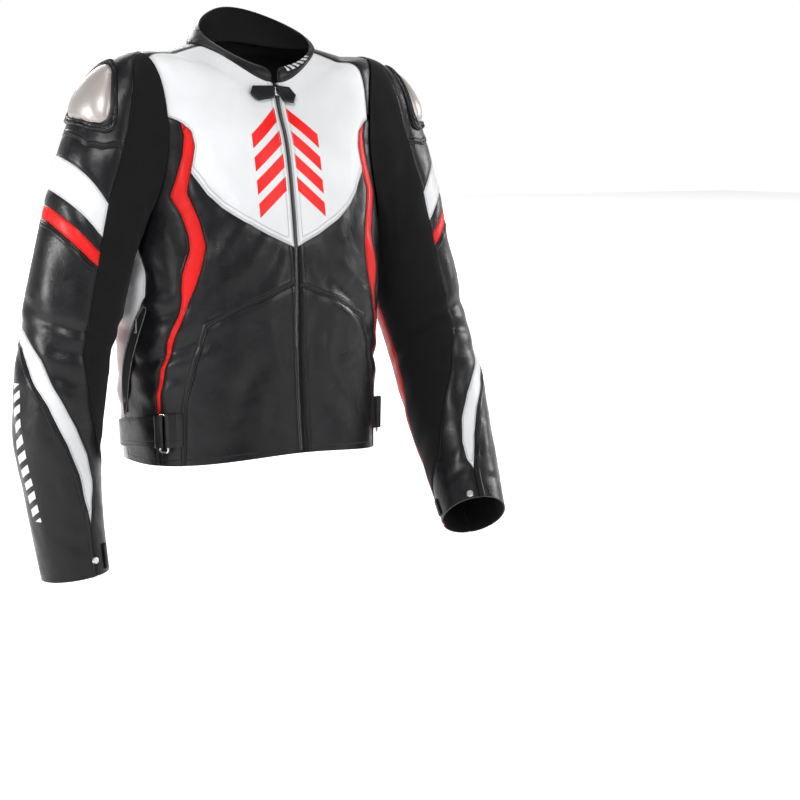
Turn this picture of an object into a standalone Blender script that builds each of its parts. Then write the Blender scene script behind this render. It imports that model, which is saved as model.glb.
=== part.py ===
"""Motorcycle racing jacket in its worn, hollow form. Metres, +Z up, the front facing -Y.
The origin lies between the two points where the collar seam crosses the shoulders."""

import bpy
import numpy as np

# Cloth and seams
LEATHER = 0.0016
TEXTILE = 0.0014
STRAP = 0.0024
SEAM_GAP = 0.0003
REST_GAP = 0.0004
STRAP_GAP = 0.0007
TRIM_GAP = 0.0006

# How finely the cloth is divided: degrees round the body and a sleeve, rows along them
BODY_STEP = 12
BODY_ROWS = 20
SLEEVE_STEP = 24

ZIP_HALF = 0.0022
COLLAR_GAP = 0.0045
COLLAR_CORNER = 0.012
COLLAR_THICK = 0.0028
COLLAR_FOOT = 0.022
SLEEVE_FOOT = 0.004
ZIP_SUNK = 0.0008
ZIP_TOP = 0.02
SLIDER = {"ring": 7.3, "sizes": (0.009, 0.012, 0.0035)}

# Rings round the body, from the hem to the neck seam. A side's height differs from the front's and
# the back's, so the upper rings climb over the shoulders.
BODY_COLUMNS = ("half_width", "front", "back", "z_front", "z_side", "z_back", "squareness", "middle")
BODY = (
    (0.173, 0.1416, 0.140, -0.534, -0.550, -0.565, 2.4, -0.006),
    (0.176, 0.1363, 0.140, -0.487, -0.500, -0.510, 2.4, -0.006),
    (0.181, 0.1310, 0.138, -0.400, -0.410, -0.415, 2.4, -0.006),
    (0.183, 0.1275, 0.136, -0.310, -0.325, -0.325, 2.4, -0.003),
    (0.185, 0.1180, 0.135, -0.225, -0.255, -0.230, 2.4, 0.000),
    (0.182, 0.1020, 0.128, -0.134, -0.150, -0.120, 2.3, 0.000),
    (0.190, 0.0840, 0.100, -0.090, -0.024, -0.030, 2.2, 0.000),
    (0.132, 0.0745, 0.074, -0.066, -0.008, 0.002, 2.1, 0.001),
    (0.092, 0.0683, 0.062, -0.0487, 0.002, 0.014, 2.0, 0.002),
)
LAST_RING = len(BODY) - 1

# The armhole seam, an oval in ring angle (degrees from the front) and ring number
ARMHOLE = {"angle": 89.0, "half_angle": 21.0, "ring": 5.20, "half_rings": 1.15, "lap": 0.0022}

# The collar's top edge
COLLAR_TOP = {"half_width": 0.079, "front": 0.0625, "back": 0.060, "z_front": -0.027,
              "z_side": 0.026, "z_back": 0.058, "bulge": 0.003, "middle": 0.008}

# Middle of each sleeve from the shoulder to the cuff
SLEEVE_COLUMNS = ("z", "x", "y")
SLEEVES = {
    "right": (
        (-0.050, -0.190, -0.016), (-0.150, -0.216, -0.008), (-0.265, -0.241, 0.004),
        (-0.336, -0.259, 0.010), (-0.385, -0.270, 0.012), (-0.443, -0.281, 0.010),
        (-0.506, -0.288, 0.006), (-0.569, -0.285, 0.002), (-0.623, -0.280, 0.000),
        (-0.690, -0.272, -0.004),
    ),
    "left": (
        (-0.050, 0.190, -0.016), (-0.150, 0.214, -0.012), (-0.250, 0.238, -0.008),
        (-0.330, 0.260, -0.010), (-0.400, 0.276, -0.020), (-0.460, 0.279, -0.048),
        (-0.520, 0.274, -0.083), (-0.575, 0.266, -0.122), (-0.608, 0.259, -0.148),
        (-0.640, 0.250, -0.177),
    ),
}
CUFF_ROW = 9.0
CAP_ROW = 3.0
# Half sizes across the arm and from its front to its rear, by row
GIRTH = (
    (3.0, 0.0640, 0.0680),
    (4.0, 0.0590, 0.0650),
    (5.0, 0.0600, 0.0630),
    (6.0, 0.0570, 0.0600),
    (7.0, 0.0510, 0.0540),
    (8.0, 0.0475, 0.0500),
    (9.0, 0.0445, 0.0470),
)
# How far the sleeve cap bulges out of the armhole, and how it runs into the arm
CAP = {"lift": 0.9, "run": 1.0, "under_out": 0.25, "under_drop": 0.60, "top_drop": 0.12,
       "top_out": {"right": 0.8, "left": 1.0}}

# Body seams: height against degrees from the front, the same on both sides
STRIPE_INNER = (
    (-0.479, 70.5), (-0.435, 67.8), (-0.402, 65.0), (-0.365, 60.2), (-0.335, 57.0), (-0.311, 53.8),
    (-0.288, 51.8), (-0.259, 50.5), (-0.227, 53.8), (-0.191, 59.8), (-0.164, 58.8), (-0.131, 57.7),
    (-0.112, 59.5), (-0.100, 64.0), (-0.080, 80.0),
)
STRIPE_OUTER = (
    (-0.479, 72.2), (-0.447, 70.8), (-0.419, 68.8), (-0.381, 65.0), (-0.349, 61.2), (-0.328, 59.6),
    (-0.316, 60.0), (-0.295, 59.8), (-0.264, 57.2), (-0.246, 58.2), (-0.219, 61.8), (-0.195, 67.0),
    (-0.173, 64.8), (-0.143, 62.8), (-0.118, 62.4), (-0.100, 64.0), (-0.080, 80.0),
)
SIDE_BACK = ((-0.560, 99.0), (-0.444, 99.0), (-0.390, 91.5), (-0.355, 83.0), (-0.325, 77.0),
             (-0.286, 79.0), (-0.250, 83.0))
BACK_EDGE = ((-0.560, 118.0), (-0.400, 120.0), (-0.250, 122.0), (-0.200, 118.0), (-0.170, 110.0))
SLANT_SIDE = ((-0.560, 57.6), (-0.466, 57.0), (-0.433, 54.0), (-0.393, 50.5), (-0.363, 47.5),
              (-0.300, 44.0))
# Degrees from the front against height
CHEST_EDGE = ((0, -0.264), (8, -0.256), (17.5, -0.247), (33, -0.228), (44, -0.210), (51, -0.193),
              (58.5, -0.166), (64, -0.140))
SLANT_TOP = ((0, -0.312), (15, -0.326), (30, -0.339), (47.5, -0.363), (56, -0.376))
STRIPE_END = -0.479
YOKE_EDGE = {"right": 78.0, "left": 67.0}
YOKE_BACK = -0.120
SIDE_TOP = -0.090

# Sleeve seams. Angle runs from 0 at the outside through 90 at the front to 180 at the inside.
TEXTILE_EDGE = ((0.0, 20), (0.25, 30), (0.5, 50), (0.9, 63), (1.3, 69), (1.7, 71), (2.1, 76),
                (2.5, 81), (3.0, 85), (3.7, 86), (4.25, 89), (4.8, 100), (5.3, 110), (6.0, 130),
                (7.0, 158), (7.6, 186), (8.2, 216), (9.0, 240))
STRIPE_HIGH = ((3.50, -75), (3.91, -2), (4.05, 10), (4.47, 36), (5.05, 60), (5.79, 91), (6.37, 108),
               (6.91, 116), (7.52, 114), (7.95, 106))
STRIPE_LOW = ((3.80, -75), (4.28, -4), (4.70, 19), (5.40, 53), (6.11, 78), (6.76, 93), (7.50, 102),
              (7.95, 106))
CAP_EDGE = ((-75, 1.35), (0, 1.43), (33, 1.47), (51, 1.37), (66, 1.13), (75, 0.95))
BAND_ANGLES = (-75, 5, 70)
BANDS = {
    "upper_sleeve": (1.55, 1.65, 1.73),
    "white_band": (1.88, 1.98, 2.08),
    "band_gap": (2.03, 2.12, 2.24),
    "red_band": (2.16, 2.25, 2.41),
}
GUSSET_EDGE = ((0.0, 230), (2.4, 230), (2.9, 182), (5.0, 186), (6.2, 211), (9.0, 216))
REAR_SEAM = -70.0
UNDER_SEAM = 222.0

# The hard shoulder plate: degrees either side of its middle against row
PLATE = {"middle": 6.0, "row": 0.95, "row_degrees": 88.0, "rise": 0.0075, "thick": 0.0018,
         "rim_start": 1.03, "rim_end": 1.24, "rim_height": 0.0045, "finer": 3}
PLATE_OUTLINE = ((0.50, 0), (0.54, 9), (0.66, 20), (0.82, 30), (1.00, 37), (1.12, 36), (1.20, 27),
                 (1.235, 14), (1.245, 0))

BELT = {"row_low": 0.58, "row_high": 1.26, "front": 68.5, "back": 114.0, "drop": 0.26}
ANCHOR = {"front": 58.8, "back": 66.0}
RING = {"angle": 67.3, "bar": 0.0016, "half_height": 0.0245, "half_width": 0.0065, "corner": 0.003}
POCKET = {"half_degrees": 1.4, "path": ((-0.338, 77.5), (-0.355, 82.0), (-0.390, 89.5), (-0.444, 97.0),
                                   (-0.486, 97.5))}
PULL = {"length": 0.018, "width": 0.0055, "thick": 0.0014, "offset": 0.0, "z": -0.356}
# The collar tabs' corners, across from the middle and up
TAB = {"thick": 0.0018, "low": 0.0051, "high": 0.0073}
TAB_RIGHT = [(-0.036, -0.0741), (-0.0082, -0.070), (-0.003, -0.0535), (-0.038, -0.0545), (-0.045, -0.064)]
TAB_LEFT = [(0.0010, -0.0685), (0.0056, -0.0755), (0.0192, -0.0775), (0.0252, -0.067), (0.0176, -0.0565),
            (-0.0032, -0.0535)]
# Angle, row and lift of the snap, and angle, first and last row of the zip puller
SNAP = {"radius": 0.0052, "height": 0.0022, "right": (104, 8.69, 0.0007), "left": (122, 8.85, 0.0)}
CUFF_TAB = {"half_degrees": 5.0, "right": (131, 8.45, 8.92), "left": (198, 8.3, 8.85)}

SIGNS = {"right": -1, "left": 1}
COLOURS = {
    "leather": ((0.022, 0.022, 0.024), 0.42, 0.0),
    "white": ((0.82, 0.83, 0.86), 0.38, 0.0),
    "red": ((0.84, 0.035, 0.025), 0.38, 0.0),
    "textile": ((0.008, 0.008, 0.009), 0.85, 0.0),
    "satin": ((0.50, 0.46, 0.43), 0.34, 0.35),
    "metal": ((0.55, 0.55, 0.57), 0.28, 1.0),
}


def smooth(table, x, column=1):
    """A smooth curve through a table, read at x against its first column."""
    table = np.asarray(table, float)
    order = np.argsort(table[:, 0])
    xs, ys = table[order, 0], table[order, column]
    slopes = np.gradient(ys, xs)
    x = np.clip(x, xs[0], xs[-1])
    k = np.clip(np.searchsorted(xs, x, side="right") - 1, 0, len(xs) - 2)
    step = xs[k + 1] - xs[k]
    s = (x - xs[k]) / step
    start = (2 * s**3 - 3 * s**2 + 1) * ys[k] + (s**3 - 2 * s**2 + s) * step * slopes[k]
    end = (3 * s**2 - 2 * s**3) * ys[k + 1] + (s**3 - s**2) * step * slopes[k + 1]
    return start + end


def straight(table, x):
    """Straight lines through a table."""
    table = np.asarray(sorted(table), float)
    return np.interp(x, table[:, 0], table[:, 1])


def column_at(table, columns, name, x):
    """One named column of a table, whose lines are numbered from 0."""
    numbered = [(k, row[columns.index(name)]) for k, row in enumerate(table)]
    return smooth(numbered, x)


def oval(angle, half_width, front, back, squareness):
    """Reach of a rounded, squarish ring at an angle from the front."""
    depth = np.where(np.cos(angle) > 0, front, back)
    across = np.abs(np.sin(angle) / half_width) ** squareness
    along = np.abs(np.cos(angle) / depth) ** squareness
    return (across + along) ** (-1 / squareness)


def body(angle, ring):
    """The body's outer surface: angle in degrees from the front, positive to the wearer's left."""
    at = {name: column_at(BODY, BODY_COLUMNS, name, ring) for name in BODY_COLUMNS}
    turn = np.radians(angle)
    reach = oval(turn, at["half_width"], at["front"], at["back"], at["squareness"])
    ends = np.where(np.cos(turn) > 0, at["z_front"], at["z_back"])
    z = at["z_side"] + (ends - at["z_side"]) * np.cos(turn) ** 2
    return np.stack([at["middle"] + reach * np.sin(turn), -reach * np.cos(turn), z], -1)


def collar(angle, share):
    """The collar band, from the neck seam at 0 to its top edge at 1."""
    turn = np.radians(angle)
    top = COLLAR_TOP
    reach = oval(turn, top["half_width"], top["front"], top["back"], 2.0)
    ends = np.where(np.cos(turn) > 0, top["z_front"], top["z_back"])
    z = top["z_side"] + (ends - top["z_side"]) * np.cos(turn) ** 2
    to_left = top["middle"] * np.abs(np.sin(turn))
    rim = np.stack([to_left + reach * np.sin(turn), -reach * np.cos(turn), z], -1)
    foot = body(angle, np.full_like(turn, LAST_RING))
    out = np.stack([np.sin(turn), -np.cos(turn), 0 * turn], -1)
    share = share[..., None]
    return foot + (rim - foot) * share + out * top["bulge"] * 4 * share * (1 - share)


def unit(vectors):
    return vectors / np.linalg.norm(vectors, axis=-1, keepdims=True)


def arm(side, angle, row):
    """Rings square to the sleeve's middle line, and the line's direction."""
    sign = SIGNS[side]
    table = SLEEVES[side]

    def middle(at):
        return np.stack([column_at(table, SLEEVE_COLUMNS, name, at) for name in "xyz"], -1)

    step = 0.01
    along = unit(middle(np.minimum(row + step, CUFF_ROW)) - middle(np.maximum(row - step, 0)))
    side_way = np.array([sign, 0.0, 0.0])
    outward = unit(side_way - along * (along @ side_way)[..., None])
    forward = np.cross(along, outward) * sign
    turn = np.radians(angle)
    across = (smooth(GIRTH, row, 1) * np.cos(turn))[..., None]
    depth = (smooth(GIRTH, row, 2) * np.sin(turn))[..., None]
    return middle(row) + across * outward + depth * forward, along


def sleeve_of(side):
    """The sleeve's outer surface, whose row 0 is the armhole seam."""
    sign = SIGNS[side]

    def sleeve(angle, row):
        turn = np.radians(angle)
        edge_angle = sign * (ARMHOLE["angle"] - ARMHOLE["half_angle"] * np.sin(turn))
        edge_ring = ARMHOLE["ring"] + ARMHOLE["half_rings"] * np.cos(turn)
        hole = body(edge_angle, edge_ring)
        hole = hole + normals_of(body, edge_angle, edge_ring, 1) * ARMHOLE["lap"]
        tube, _ = arm(side, angle, np.maximum(row, CAP_ROW))
        foot, along = arm(side, angle, np.full_like(row, CAP_ROW))
        span = np.linalg.norm(foot - hole, axis=-1, keepdims=True)
        top = 0.5 + 0.5 * np.cos(turn)
        out = CAP["under_out"] + (CAP["top_out"][side] - CAP["under_out"]) * top
        drop = CAP["under_drop"] + (CAP["top_drop"] - CAP["under_drop"]) * top
        leave = np.stack([sign * out, 0 * top, -drop], -1) * span * CAP["lift"]
        arrive = along * span * CAP["run"]
        s = np.clip(row / CAP_ROW, 0, 1)[..., None]
        start = (2 * s**3 - 3 * s**2 + 1) * hole + (s**3 - 2 * s**2 + s) * leave
        end = (3 * s**2 - 2 * s**3) * foot + (s**3 - s**2) * arrive
        return np.where(row[..., None] <= CAP_ROW, start + end, tube)

    return sleeve


def normals_of(surface, first, second, facing):
    """Directions square to a surface, from small steps along both of its parameters."""
    turn, climb = 0.05, 0.002
    around = surface(first + turn, second) - surface(first - turn, second)
    upward = surface(first, second + climb) - surface(first, second - climb)
    return unit(np.cross(around, upward)) * facing


class Grid:
    """Points over a surface in two parameters, with triangles between them."""

    def __init__(self, surface, firsts, seconds, facing=1):
        self.first, self.second = np.meshgrid(firsts, seconds)
        self.points = surface(self.first, self.second)
        self.normals = normals_of(surface, self.first, self.second, facing)
        self.connect(facing)

    def connect(self, facing):
        """Triangles between neighbouring points, facing outwards."""
        self.facing = facing
        rows, columns = self.first.shape
        a = np.arange((rows - 1) * columns).reshape(rows - 1, columns)[:, :-1].ravel()
        b, c, d = a + 1, a + columns + 1, a + columns
        faces = np.concatenate([np.stack([a, b, c], -1), np.stack([a, c, d], -1)])
        self.triangles = faces if facing > 0 else faces[:, ::-1]

    def refined(self, finer, first_range, second_range):
        """A part of the grid with each of its flat triangles divided into smaller ones."""
        made = object.__new__(Grid)
        chosen = [
            np.flatnonzero((line >= low) & (line <= high))
            for line, (low, high) in ((self.first[0], first_range), (self.second[:, 0], second_range))
        ]
        steps = [np.arange(picked[0], picked[-1] + 0.5 / finer, 1 / finer) for picked in chosen]
        across, along = np.meshgrid(*steps)
        i = np.minimum(across.astype(int), chosen[0][-1] - 1)
        j = np.minimum(along.astype(int), chosen[1][-1] - 1)
        u, v = across - i, along - j

        def between(values):
            share = (u, v) if values.ndim == 2 else (u[..., None], v[..., None])
            a, c = values[j, i], values[j + 1, i + 1]
            below = a + (values[j, i + 1] - a) * share[0] + (c - values[j, i + 1]) * share[1]
            above = a + (values[j + 1, i] - a) * share[1] + (c - values[j + 1, i]) * share[0]
            return np.where(share[0] >= share[1], below, above)

        made.first, made.second = between(self.first), between(self.second)
        made.points, made.normals = between(self.points), unit(between(self.normals))
        made.connect(self.facing)
        return made

    def distance(self, values):
        """A field that is 0 on a seam, scaled to metres from it."""
        gu, gv = np.gradient(values, axis=1), np.gradient(values, axis=0)
        pu, pv = np.gradient(self.points, axis=1), np.gradient(self.points, axis=0)
        uu, vv, uv = (pu * pu).sum(-1), (pv * pv).sum(-1), (pu * pv).sum(-1)
        slope = (gu**2 * vv - 2 * gu * gv * uv + gv**2 * uu) / np.maximum(uu * vv - uv**2, 1e-15)
        return values / np.sqrt(np.maximum(slope, 1e-12))


def cut(loop, k):
    """The part of a loop of corners that lies inside seam number k."""
    level = SEAM_GAP / 2
    kept = []
    for here, after in zip(loop, loop[1:] + loop[:1]):
        if here[k] > level:
            kept.append(here)
        if (here[k] > level) != (after[k] > level):
            low, high = sorted((here, after), key=tuple)
            share = (low[k] - level) / (low[k] - high[k])
            kept.append(low + share * (high - low))
    return kept


def panel_loops(grid, fields, height=None):
    """Flat loops of corners that cover the grid where every field is inside its seam. A corner holds
    its place, the direction out, its height above the cloth and one number for each seam."""
    height = np.zeros_like(grid.first) if height is None else height
    flat = [grid.points.reshape(-1, 3), grid.normals.reshape(-1, 3)]
    flat += [field.reshape(-1, 1) for field in [height] + fields]
    corners = np.concatenate(flat, axis=1)
    loops = []
    for triangle in grid.triangles:
        loop = list(corners[triangle])
        for k in range(7, corners.shape[1]):
            loop = cut(loop, k)
        if len(loop) > 2:
            loops.append(loop)
    return loops


def wall(name, loops, thick, colour, lift=0.0):
    """A named solid whose outer face is the loops and whose inner face lies a wall's thickness behind."""
    numbers, corners, faces = {}, [], []
    for loop in loops:
        face = []
        for corner in loop:
            key = tuple(np.round(corner[:3], 6))
            if key not in numbers:
                numbers[key] = len(corners)
                corners.append(corner)
            if numbers[key] not in face:
                face.append(numbers[key])
        if len(face) > 2:
            faces.append(face)
    corners = np.array(corners)
    direction = unit(corners[:, 3:6])
    outer = corners[:, :3] + direction * (lift + corners[:, 6:7])
    inner = outer - direction * thick
    count = len(corners)
    edges = {(a, b) for face in faces for a, b in zip(face, face[1:] + face[:1])}
    rim = [(b, a, a + count, b + count) for a, b in edges if (b, a) not in edges]
    behind = [[k + count for k in reversed(face)] for face in faces]
    return solid(name, np.concatenate([outer, inner]), faces + behind + rim, colour)


def solid(name, points, faces, colour):
    mesh = bpy.data.meshes.new(name)
    mesh.from_pydata([tuple(p) for p in points], [], [tuple(f) for f in faces])
    mesh.validate()
    return placed(bpy.data.objects.new(name, mesh), colour)


def placed(obj, colour):
    """Puts an object in the jacket's collection, with its material and smooth shading."""
    obj.data.materials.clear()
    obj.data.materials.append(MATERIALS[colour])
    for other in obj.users_collection:
        other.objects.unlink(obj)
    JACKET.objects.link(obj)
    obj.data.shade_smooth()
    obj.data.set_sharp_from_angle(angle=np.radians(40))
    return obj


def material(name):
    colour, roughness, metallic = COLOURS[name]
    made = bpy.data.materials.new(name)
    made.use_nodes = True
    shader = made.node_tree.nodes["Principled BSDF"]
    shader.inputs["Base Color"].default_value = (*colour, 1)
    shader.inputs["Roughness"].default_value = roughness
    shader.inputs["Metallic"].default_value = metallic
    return made


def body_panels():
    """Every panel of the body, cut from one grid by the seams."""
    angles = np.arange(-180, 180 + BODY_STEP, BODY_STEP, dtype=float)
    rings = np.linspace(0, LAST_RING, BODY_ROWS)
    grid = Grid(body, angles, rings)
    away, height = np.abs(grid.first), grid.points[..., 2]
    hole_angle = (away - ARMHOLE["angle"]) / ARMHOLE["half_angle"]
    hole_ring = (grid.second - ARMHOLE["ring"]) / ARMHOLE["half_rings"]
    outside_hole = grid.distance(np.hypot(hole_angle, hole_ring) - 1)
    by_height = {
        name: grid.distance(away - straight(table, height))
        for name, table in (
            ("inner", STRIPE_INNER), ("outer", STRIPE_OUTER), ("side", SIDE_BACK),
            ("back", BACK_EDGE), ("slant", SLANT_SIDE),
        )
    }
    above_chest = grid.distance(height - straight(CHEST_EDGE, away))
    above_slant = grid.distance(height - straight(SLANT_TOP, away))
    upper = np.maximum(above_slant, by_height["slant"])
    above_stripe = grid.distance(height - STRIPE_END)
    above_yoke = grid.distance(height - YOKE_BACK)
    below_shoulder = grid.distance(SIDE_TOP - height)
    for side, sign in SIGNS.items():
        half = sign * grid.points[..., 0]
        yoke_edge = grid.distance(away - YOKE_EDGE[side])
        front = [half - ZIP_HALF, -by_height["inner"]]
        panels = {
            "chest": (front + [above_chest, outside_hole, -yoke_edge], "white"),
            "waist_front": (front + [-above_chest, upper], "leather"),
            "hem_front": (front + [-upper], "leather"),
            "side_stripe": (
                [half, by_height["inner"], -by_height["outer"], above_stripe, outside_hole], "red",
            ),
            "side_panel": (
                [half, by_height["outer"], -by_height["side"], below_shoulder, outside_hole], "leather",
            ),
            "back_side": (
                [half, by_height["side"], -by_height["back"], -above_yoke, outside_hole], "white",
            ),
        }
        for name, (fields, colour) in panels.items():
            wall(f"{name}_{side}", panel_loops(grid, fields), LEATHER, colour)
    yoke_sides = np.where(grid.first < 0, YOKE_EDGE["right"], YOKE_EDGE["left"])
    behind = grid.distance(away - yoke_sides)
    yoke_foot = grid.distance(height - np.where(away < 90, SIDE_TOP, YOKE_BACK))
    wall("back_yoke", panel_loops(grid, [behind, yoke_foot, outside_hole]), LEATHER, "leather")
    back = [by_height["back"], -above_yoke, outside_hole, grid.distance(away - 100.0)]
    wall("back_panel", panel_loops(grid, back), LEATHER, "leather")


def collar_band():
    """The standing band, open at the front with rounded top corners."""
    near_gap = [-20, -13, -9, -6, -4, 4, 6, 9, 13, 20]
    angles = np.concatenate([np.arange(-180, -35, 15.0), near_gap, np.arange(30, 181, 15.0)])
    grid = Grid(collar, angles, np.array([COLLAR_FOOT, 0.4, 0.7, 0.88, 1.0]))
    beside_gap = np.abs(grid.points[..., 0]) - COLLAR_GAP
    tall = COLLAR_TOP["z_front"] - grid.points[..., 2]
    short = np.maximum(COLLAR_CORNER - beside_gap, 0), np.maximum(COLLAR_CORNER - tall, 0)
    corner = COLLAR_CORNER - np.hypot(*short)
    gap_side = np.where(np.abs(grid.first) < 90, beside_gap, 1.0)
    corner_side = np.where(np.abs(grid.first) < 30, corner, 1.0)
    loops = panel_loops(grid, [gap_side, np.minimum(gap_side, corner_side)])
    wall("collar", loops, COLLAR_THICK, "leather")


def sleeve_grid(side):
    angles = np.arange(-110, 251, SLEEVE_STEP, dtype=float)
    upper, lower = np.arange(0.25, CAP_ROW, 0.25), np.arange(CAP_ROW, CUFF_ROW + 0.1, 0.5)
    rows = np.concatenate([[SLEEVE_FOOT], upper, lower])
    return Grid(sleeve_of(side), angles, rows, SIGNS[side])


def sleeve_panels(side):
    """Every panel of one sleeve, cut from one grid by the seams."""
    grid = sleeve_grid(side)
    angle, row = grid.first, grid.second

    def before(table):
        return grid.distance(straight(table, row) - angle)

    def past_band(name):
        return grid.distance(row - np.interp(angle, BAND_ANGLES, BANDS[name]))

    textile_edge, gusset = before(TEXTILE_EDGE), before(GUSSET_EDGE)
    high, low = before(STRIPE_HIGH), before(STRIPE_LOW)
    rear, under = grid.distance(angle - REAR_SEAM), grid.distance(UNDER_SEAM - angle)
    past_cap = grid.distance(row - straight(CAP_EDGE, angle))
    past = {name: past_band(name) for name in BANDS}
    outer = [rear, textile_edge]
    forearm = [rear, textile_edge, gusset]
    panels = {
        "stretch_panel": ([-textile_edge, gusset, under], "textile"),
        "shoulder_cap": (outer + [-past_cap], "leather"),
        "upper_sleeve": (outer + [past_cap, -past["upper_sleeve"]], "leather"),
        "white_band": (outer + [past["upper_sleeve"], -past["white_band"]], "white"),
        "band_gap": (outer + [past["white_band"], -past["band_gap"]], "leather"),
        "red_band": (outer + [past["band_gap"], -past["red_band"]], "red"),
        "elbow_panel": (forearm + [past["red_band"], -high], "leather"),
        "forearm_stripe": (forearm + [high, -low], "white"),
        "forearm_panel": (forearm + [low], "leather"),
        "sleeve_gusset": ([-gusset, under], "red"),
        "under_sleeve": ([np.maximum(-under, -rear)], "leather"),
    }
    for name, (fields, colour) in panels.items():
        thick = TEXTILE if colour == "textile" else LEATHER
        wall(f"{name}_{side}", panel_loops(grid, fields), thick, colour)


def plate_share(angle, row):
    """How far out a spot lies from the plate's middle, 1 being its edge."""
    turn = np.radians(np.arange(-180, 180, 4))
    low, high = PLATE_OUTLINE[0][0], PLATE_OUTLINE[-1][0]
    edge_row = (low + high) / 2 + (high - low) / 2 * np.sin(turn)
    across = np.sign(np.cos(turn)) * smooth(PLATE_OUTLINE, edge_row)
    along = (edge_row - PLATE["row"]) * PLATE["row_degrees"]
    bearing = np.arctan2(along, across)
    order = np.argsort(bearing)
    here = angle - PLATE["middle"], (row - PLATE["row"]) * PLATE["row_degrees"]
    reach = np.hypot(across, along)
    edge = np.interp(np.arctan2(here[1], here[0]), bearing[order], reach[order], period=2 * np.pi)
    return np.hypot(*here) / edge


def shoulder_plate(side):
    """The hard cup on the shoulder and the raised rim round it, both laid on the cap's own triangles."""
    grid = sleeve_grid(side).refined(PLATE["finer"], (-62, 82), (0.25, 1.75))
    share = plate_share(grid.first, grid.second)
    height = PLATE["rise"] * (1 - share**3)
    inside = [grid.distance(1 - share)]
    wall(f"shoulder_plate_{side}", panel_loops(grid, inside, height), PLATE["thick"], "satin",
         STRAP_GAP + PLATE["thick"])
    around = [grid.distance(share - PLATE["rim_start"]), grid.distance(PLATE["rim_end"] - share)]
    wall(f"shoulder_rim_{side}", panel_loops(grid, around), PLATE["rim_height"], "leather",
         REST_GAP + PLATE["rim_height"])


def body_patch(name, side, surface, firsts, seconds, thick, lift, colour):
    """A piece that lies on the body: a small grid of it, moved out."""
    facing = SIGNS[side]
    wall(name, panel_loops(Grid(surface, firsts, seconds, facing), []), thick, colour, lift)


def ring_at(angle, height):
    """Ring number where the body's surface has a height, below the armholes."""
    rings = np.linspace(0, 4, 81)
    found = [
        np.interp(z, body(np.full_like(rings, a), rings)[:, 2], rings)
        for a, z in zip(np.ravel(angle), np.ravel(height))
    ]
    return np.reshape(found, np.shape(angle))


def belt(side):
    """Side strap, the ring it folds through, and the anchor that holds the ring."""
    sign = SIGNS[side]
    low, high = BELT["row_low"], BELT["row_high"]

    def waist(angle, share):
        lean = np.maximum(angle - BELT["front"], 0) / (BELT["back"] - BELT["front"])
        return body(sign * angle, low + (high - low) * share - BELT["drop"] * lean)

    shares = np.array([0.0, 0.5, 1.0])
    lift = STRAP_GAP + STRAP
    strap = np.linspace(BELT["front"], BELT["back"], 13)
    body_patch(f"belt_strap_{side}", side, waist, strap, shares, STRAP, lift, "leather")
    anchor = np.linspace(ANCHOR["front"], ANCHOR["back"], 3)
    body_patch(f"belt_anchor_{side}", side, waist, anchor, shares, STRAP, lift, "leather")
    facing = SIGNS[side]
    at = np.array(RING["angle"]), np.array(0.5)
    middle, out = waist(*at), normals_of(waist, *at, facing)
    up = unit(waist(at[0], np.array(1.0)) - waist(at[0], np.array(0.0)))
    across = np.cross(up, out)
    middle = middle + out * (lift + REST_GAP + RING["bar"])
    corner = RING["corner"]
    wide, tall = RING["half_width"] - corner, RING["half_height"] - corner
    path = []
    for quarter, (x, y) in enumerate(((1, 1), (-1, 1), (-1, -1), (1, -1))):
        for turn in np.radians(np.array([0, 45, 90]) + 90 * quarter):
            sideways, upward = x * wide + corner * np.cos(turn), y * tall + corner * np.sin(turn)
            path.append(middle + across * sideways + up * upward)
    tube(f"belt_ring_{side}", path, RING["bar"], "metal", closed=True)


def tube(name, path, radius, colour, closed=False):
    """A round bar along points."""
    curve = bpy.data.curves.new(name, "CURVE")
    curve.dimensions = "3D"
    curve.bevel_depth, curve.bevel_resolution, curve.use_fill_caps = radius, 1, True
    line = curve.splines.new("POLY")
    line.points.add(len(path) - 1)
    for point, place in zip(line.points, path):
        point.co = (*place, 1)
    line.use_cyclic_u = closed
    drawn = bpy.data.objects.new(name, curve)
    JACKET.objects.link(drawn)
    graph = bpy.context.evaluated_depsgraph_get()
    mesh = bpy.data.meshes.new_from_object(drawn.evaluated_get(graph))
    bpy.data.objects.remove(drawn)
    placed(bpy.data.objects.new(name, mesh), colour)


def block(name, middle, across, up, out, sizes, colour):
    """A small box with softened edges, its sides along three directions."""
    bpy.ops.mesh.primitive_cube_add(size=1)
    made = bpy.context.object
    made.name = name
    turned = np.stack([across, up, out], 1)
    for vertex in made.data.vertices:
        vertex.co = middle + turned @ (np.array(vertex.co) * sizes)
    edges = made.modifiers.new("edges", "BEVEL")
    edges.width, edges.segments = min(sizes) * 0.3, 1
    return placed(made, colour)


def pocket(side):
    """The pocket's zip along the side panel's rear edge, and its hanging pull."""
    sign = SIGNS[side]
    heights = np.linspace(POCKET["path"][0][0], POCKET["path"][-1][0], 9)

    def opening(offset, height):
        angle = smooth(POCKET["path"], height) + offset
        return body(sign * angle, ring_at(angle, height))

    half = POCKET["half_degrees"]
    lift = REST_GAP + TEXTILE
    body_patch(f"pocket_zip_{side}", side, opening, np.array([-half, 0.0, half]), heights[::-1], TEXTILE,
               lift, "textile")
    at = np.array(PULL["offset"]), np.array(PULL["z"])
    out = normals_of(opening, *at, sign)
    across = unit(np.cross(np.array([0.0, 0.0, 1.0]), out))
    down = np.cross(across, out)
    down = down if down[2] < 0 else -down
    top = opening(*at) + out * (lift + REST_GAP + PULL["thick"] / 2)
    block(f"pocket_pull_{side}", top + down * PULL["length"] / 2, across, -down, np.cross(across, -down),
          np.array([PULL["width"], PULL["length"], PULL["thick"]]), "metal")


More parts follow.
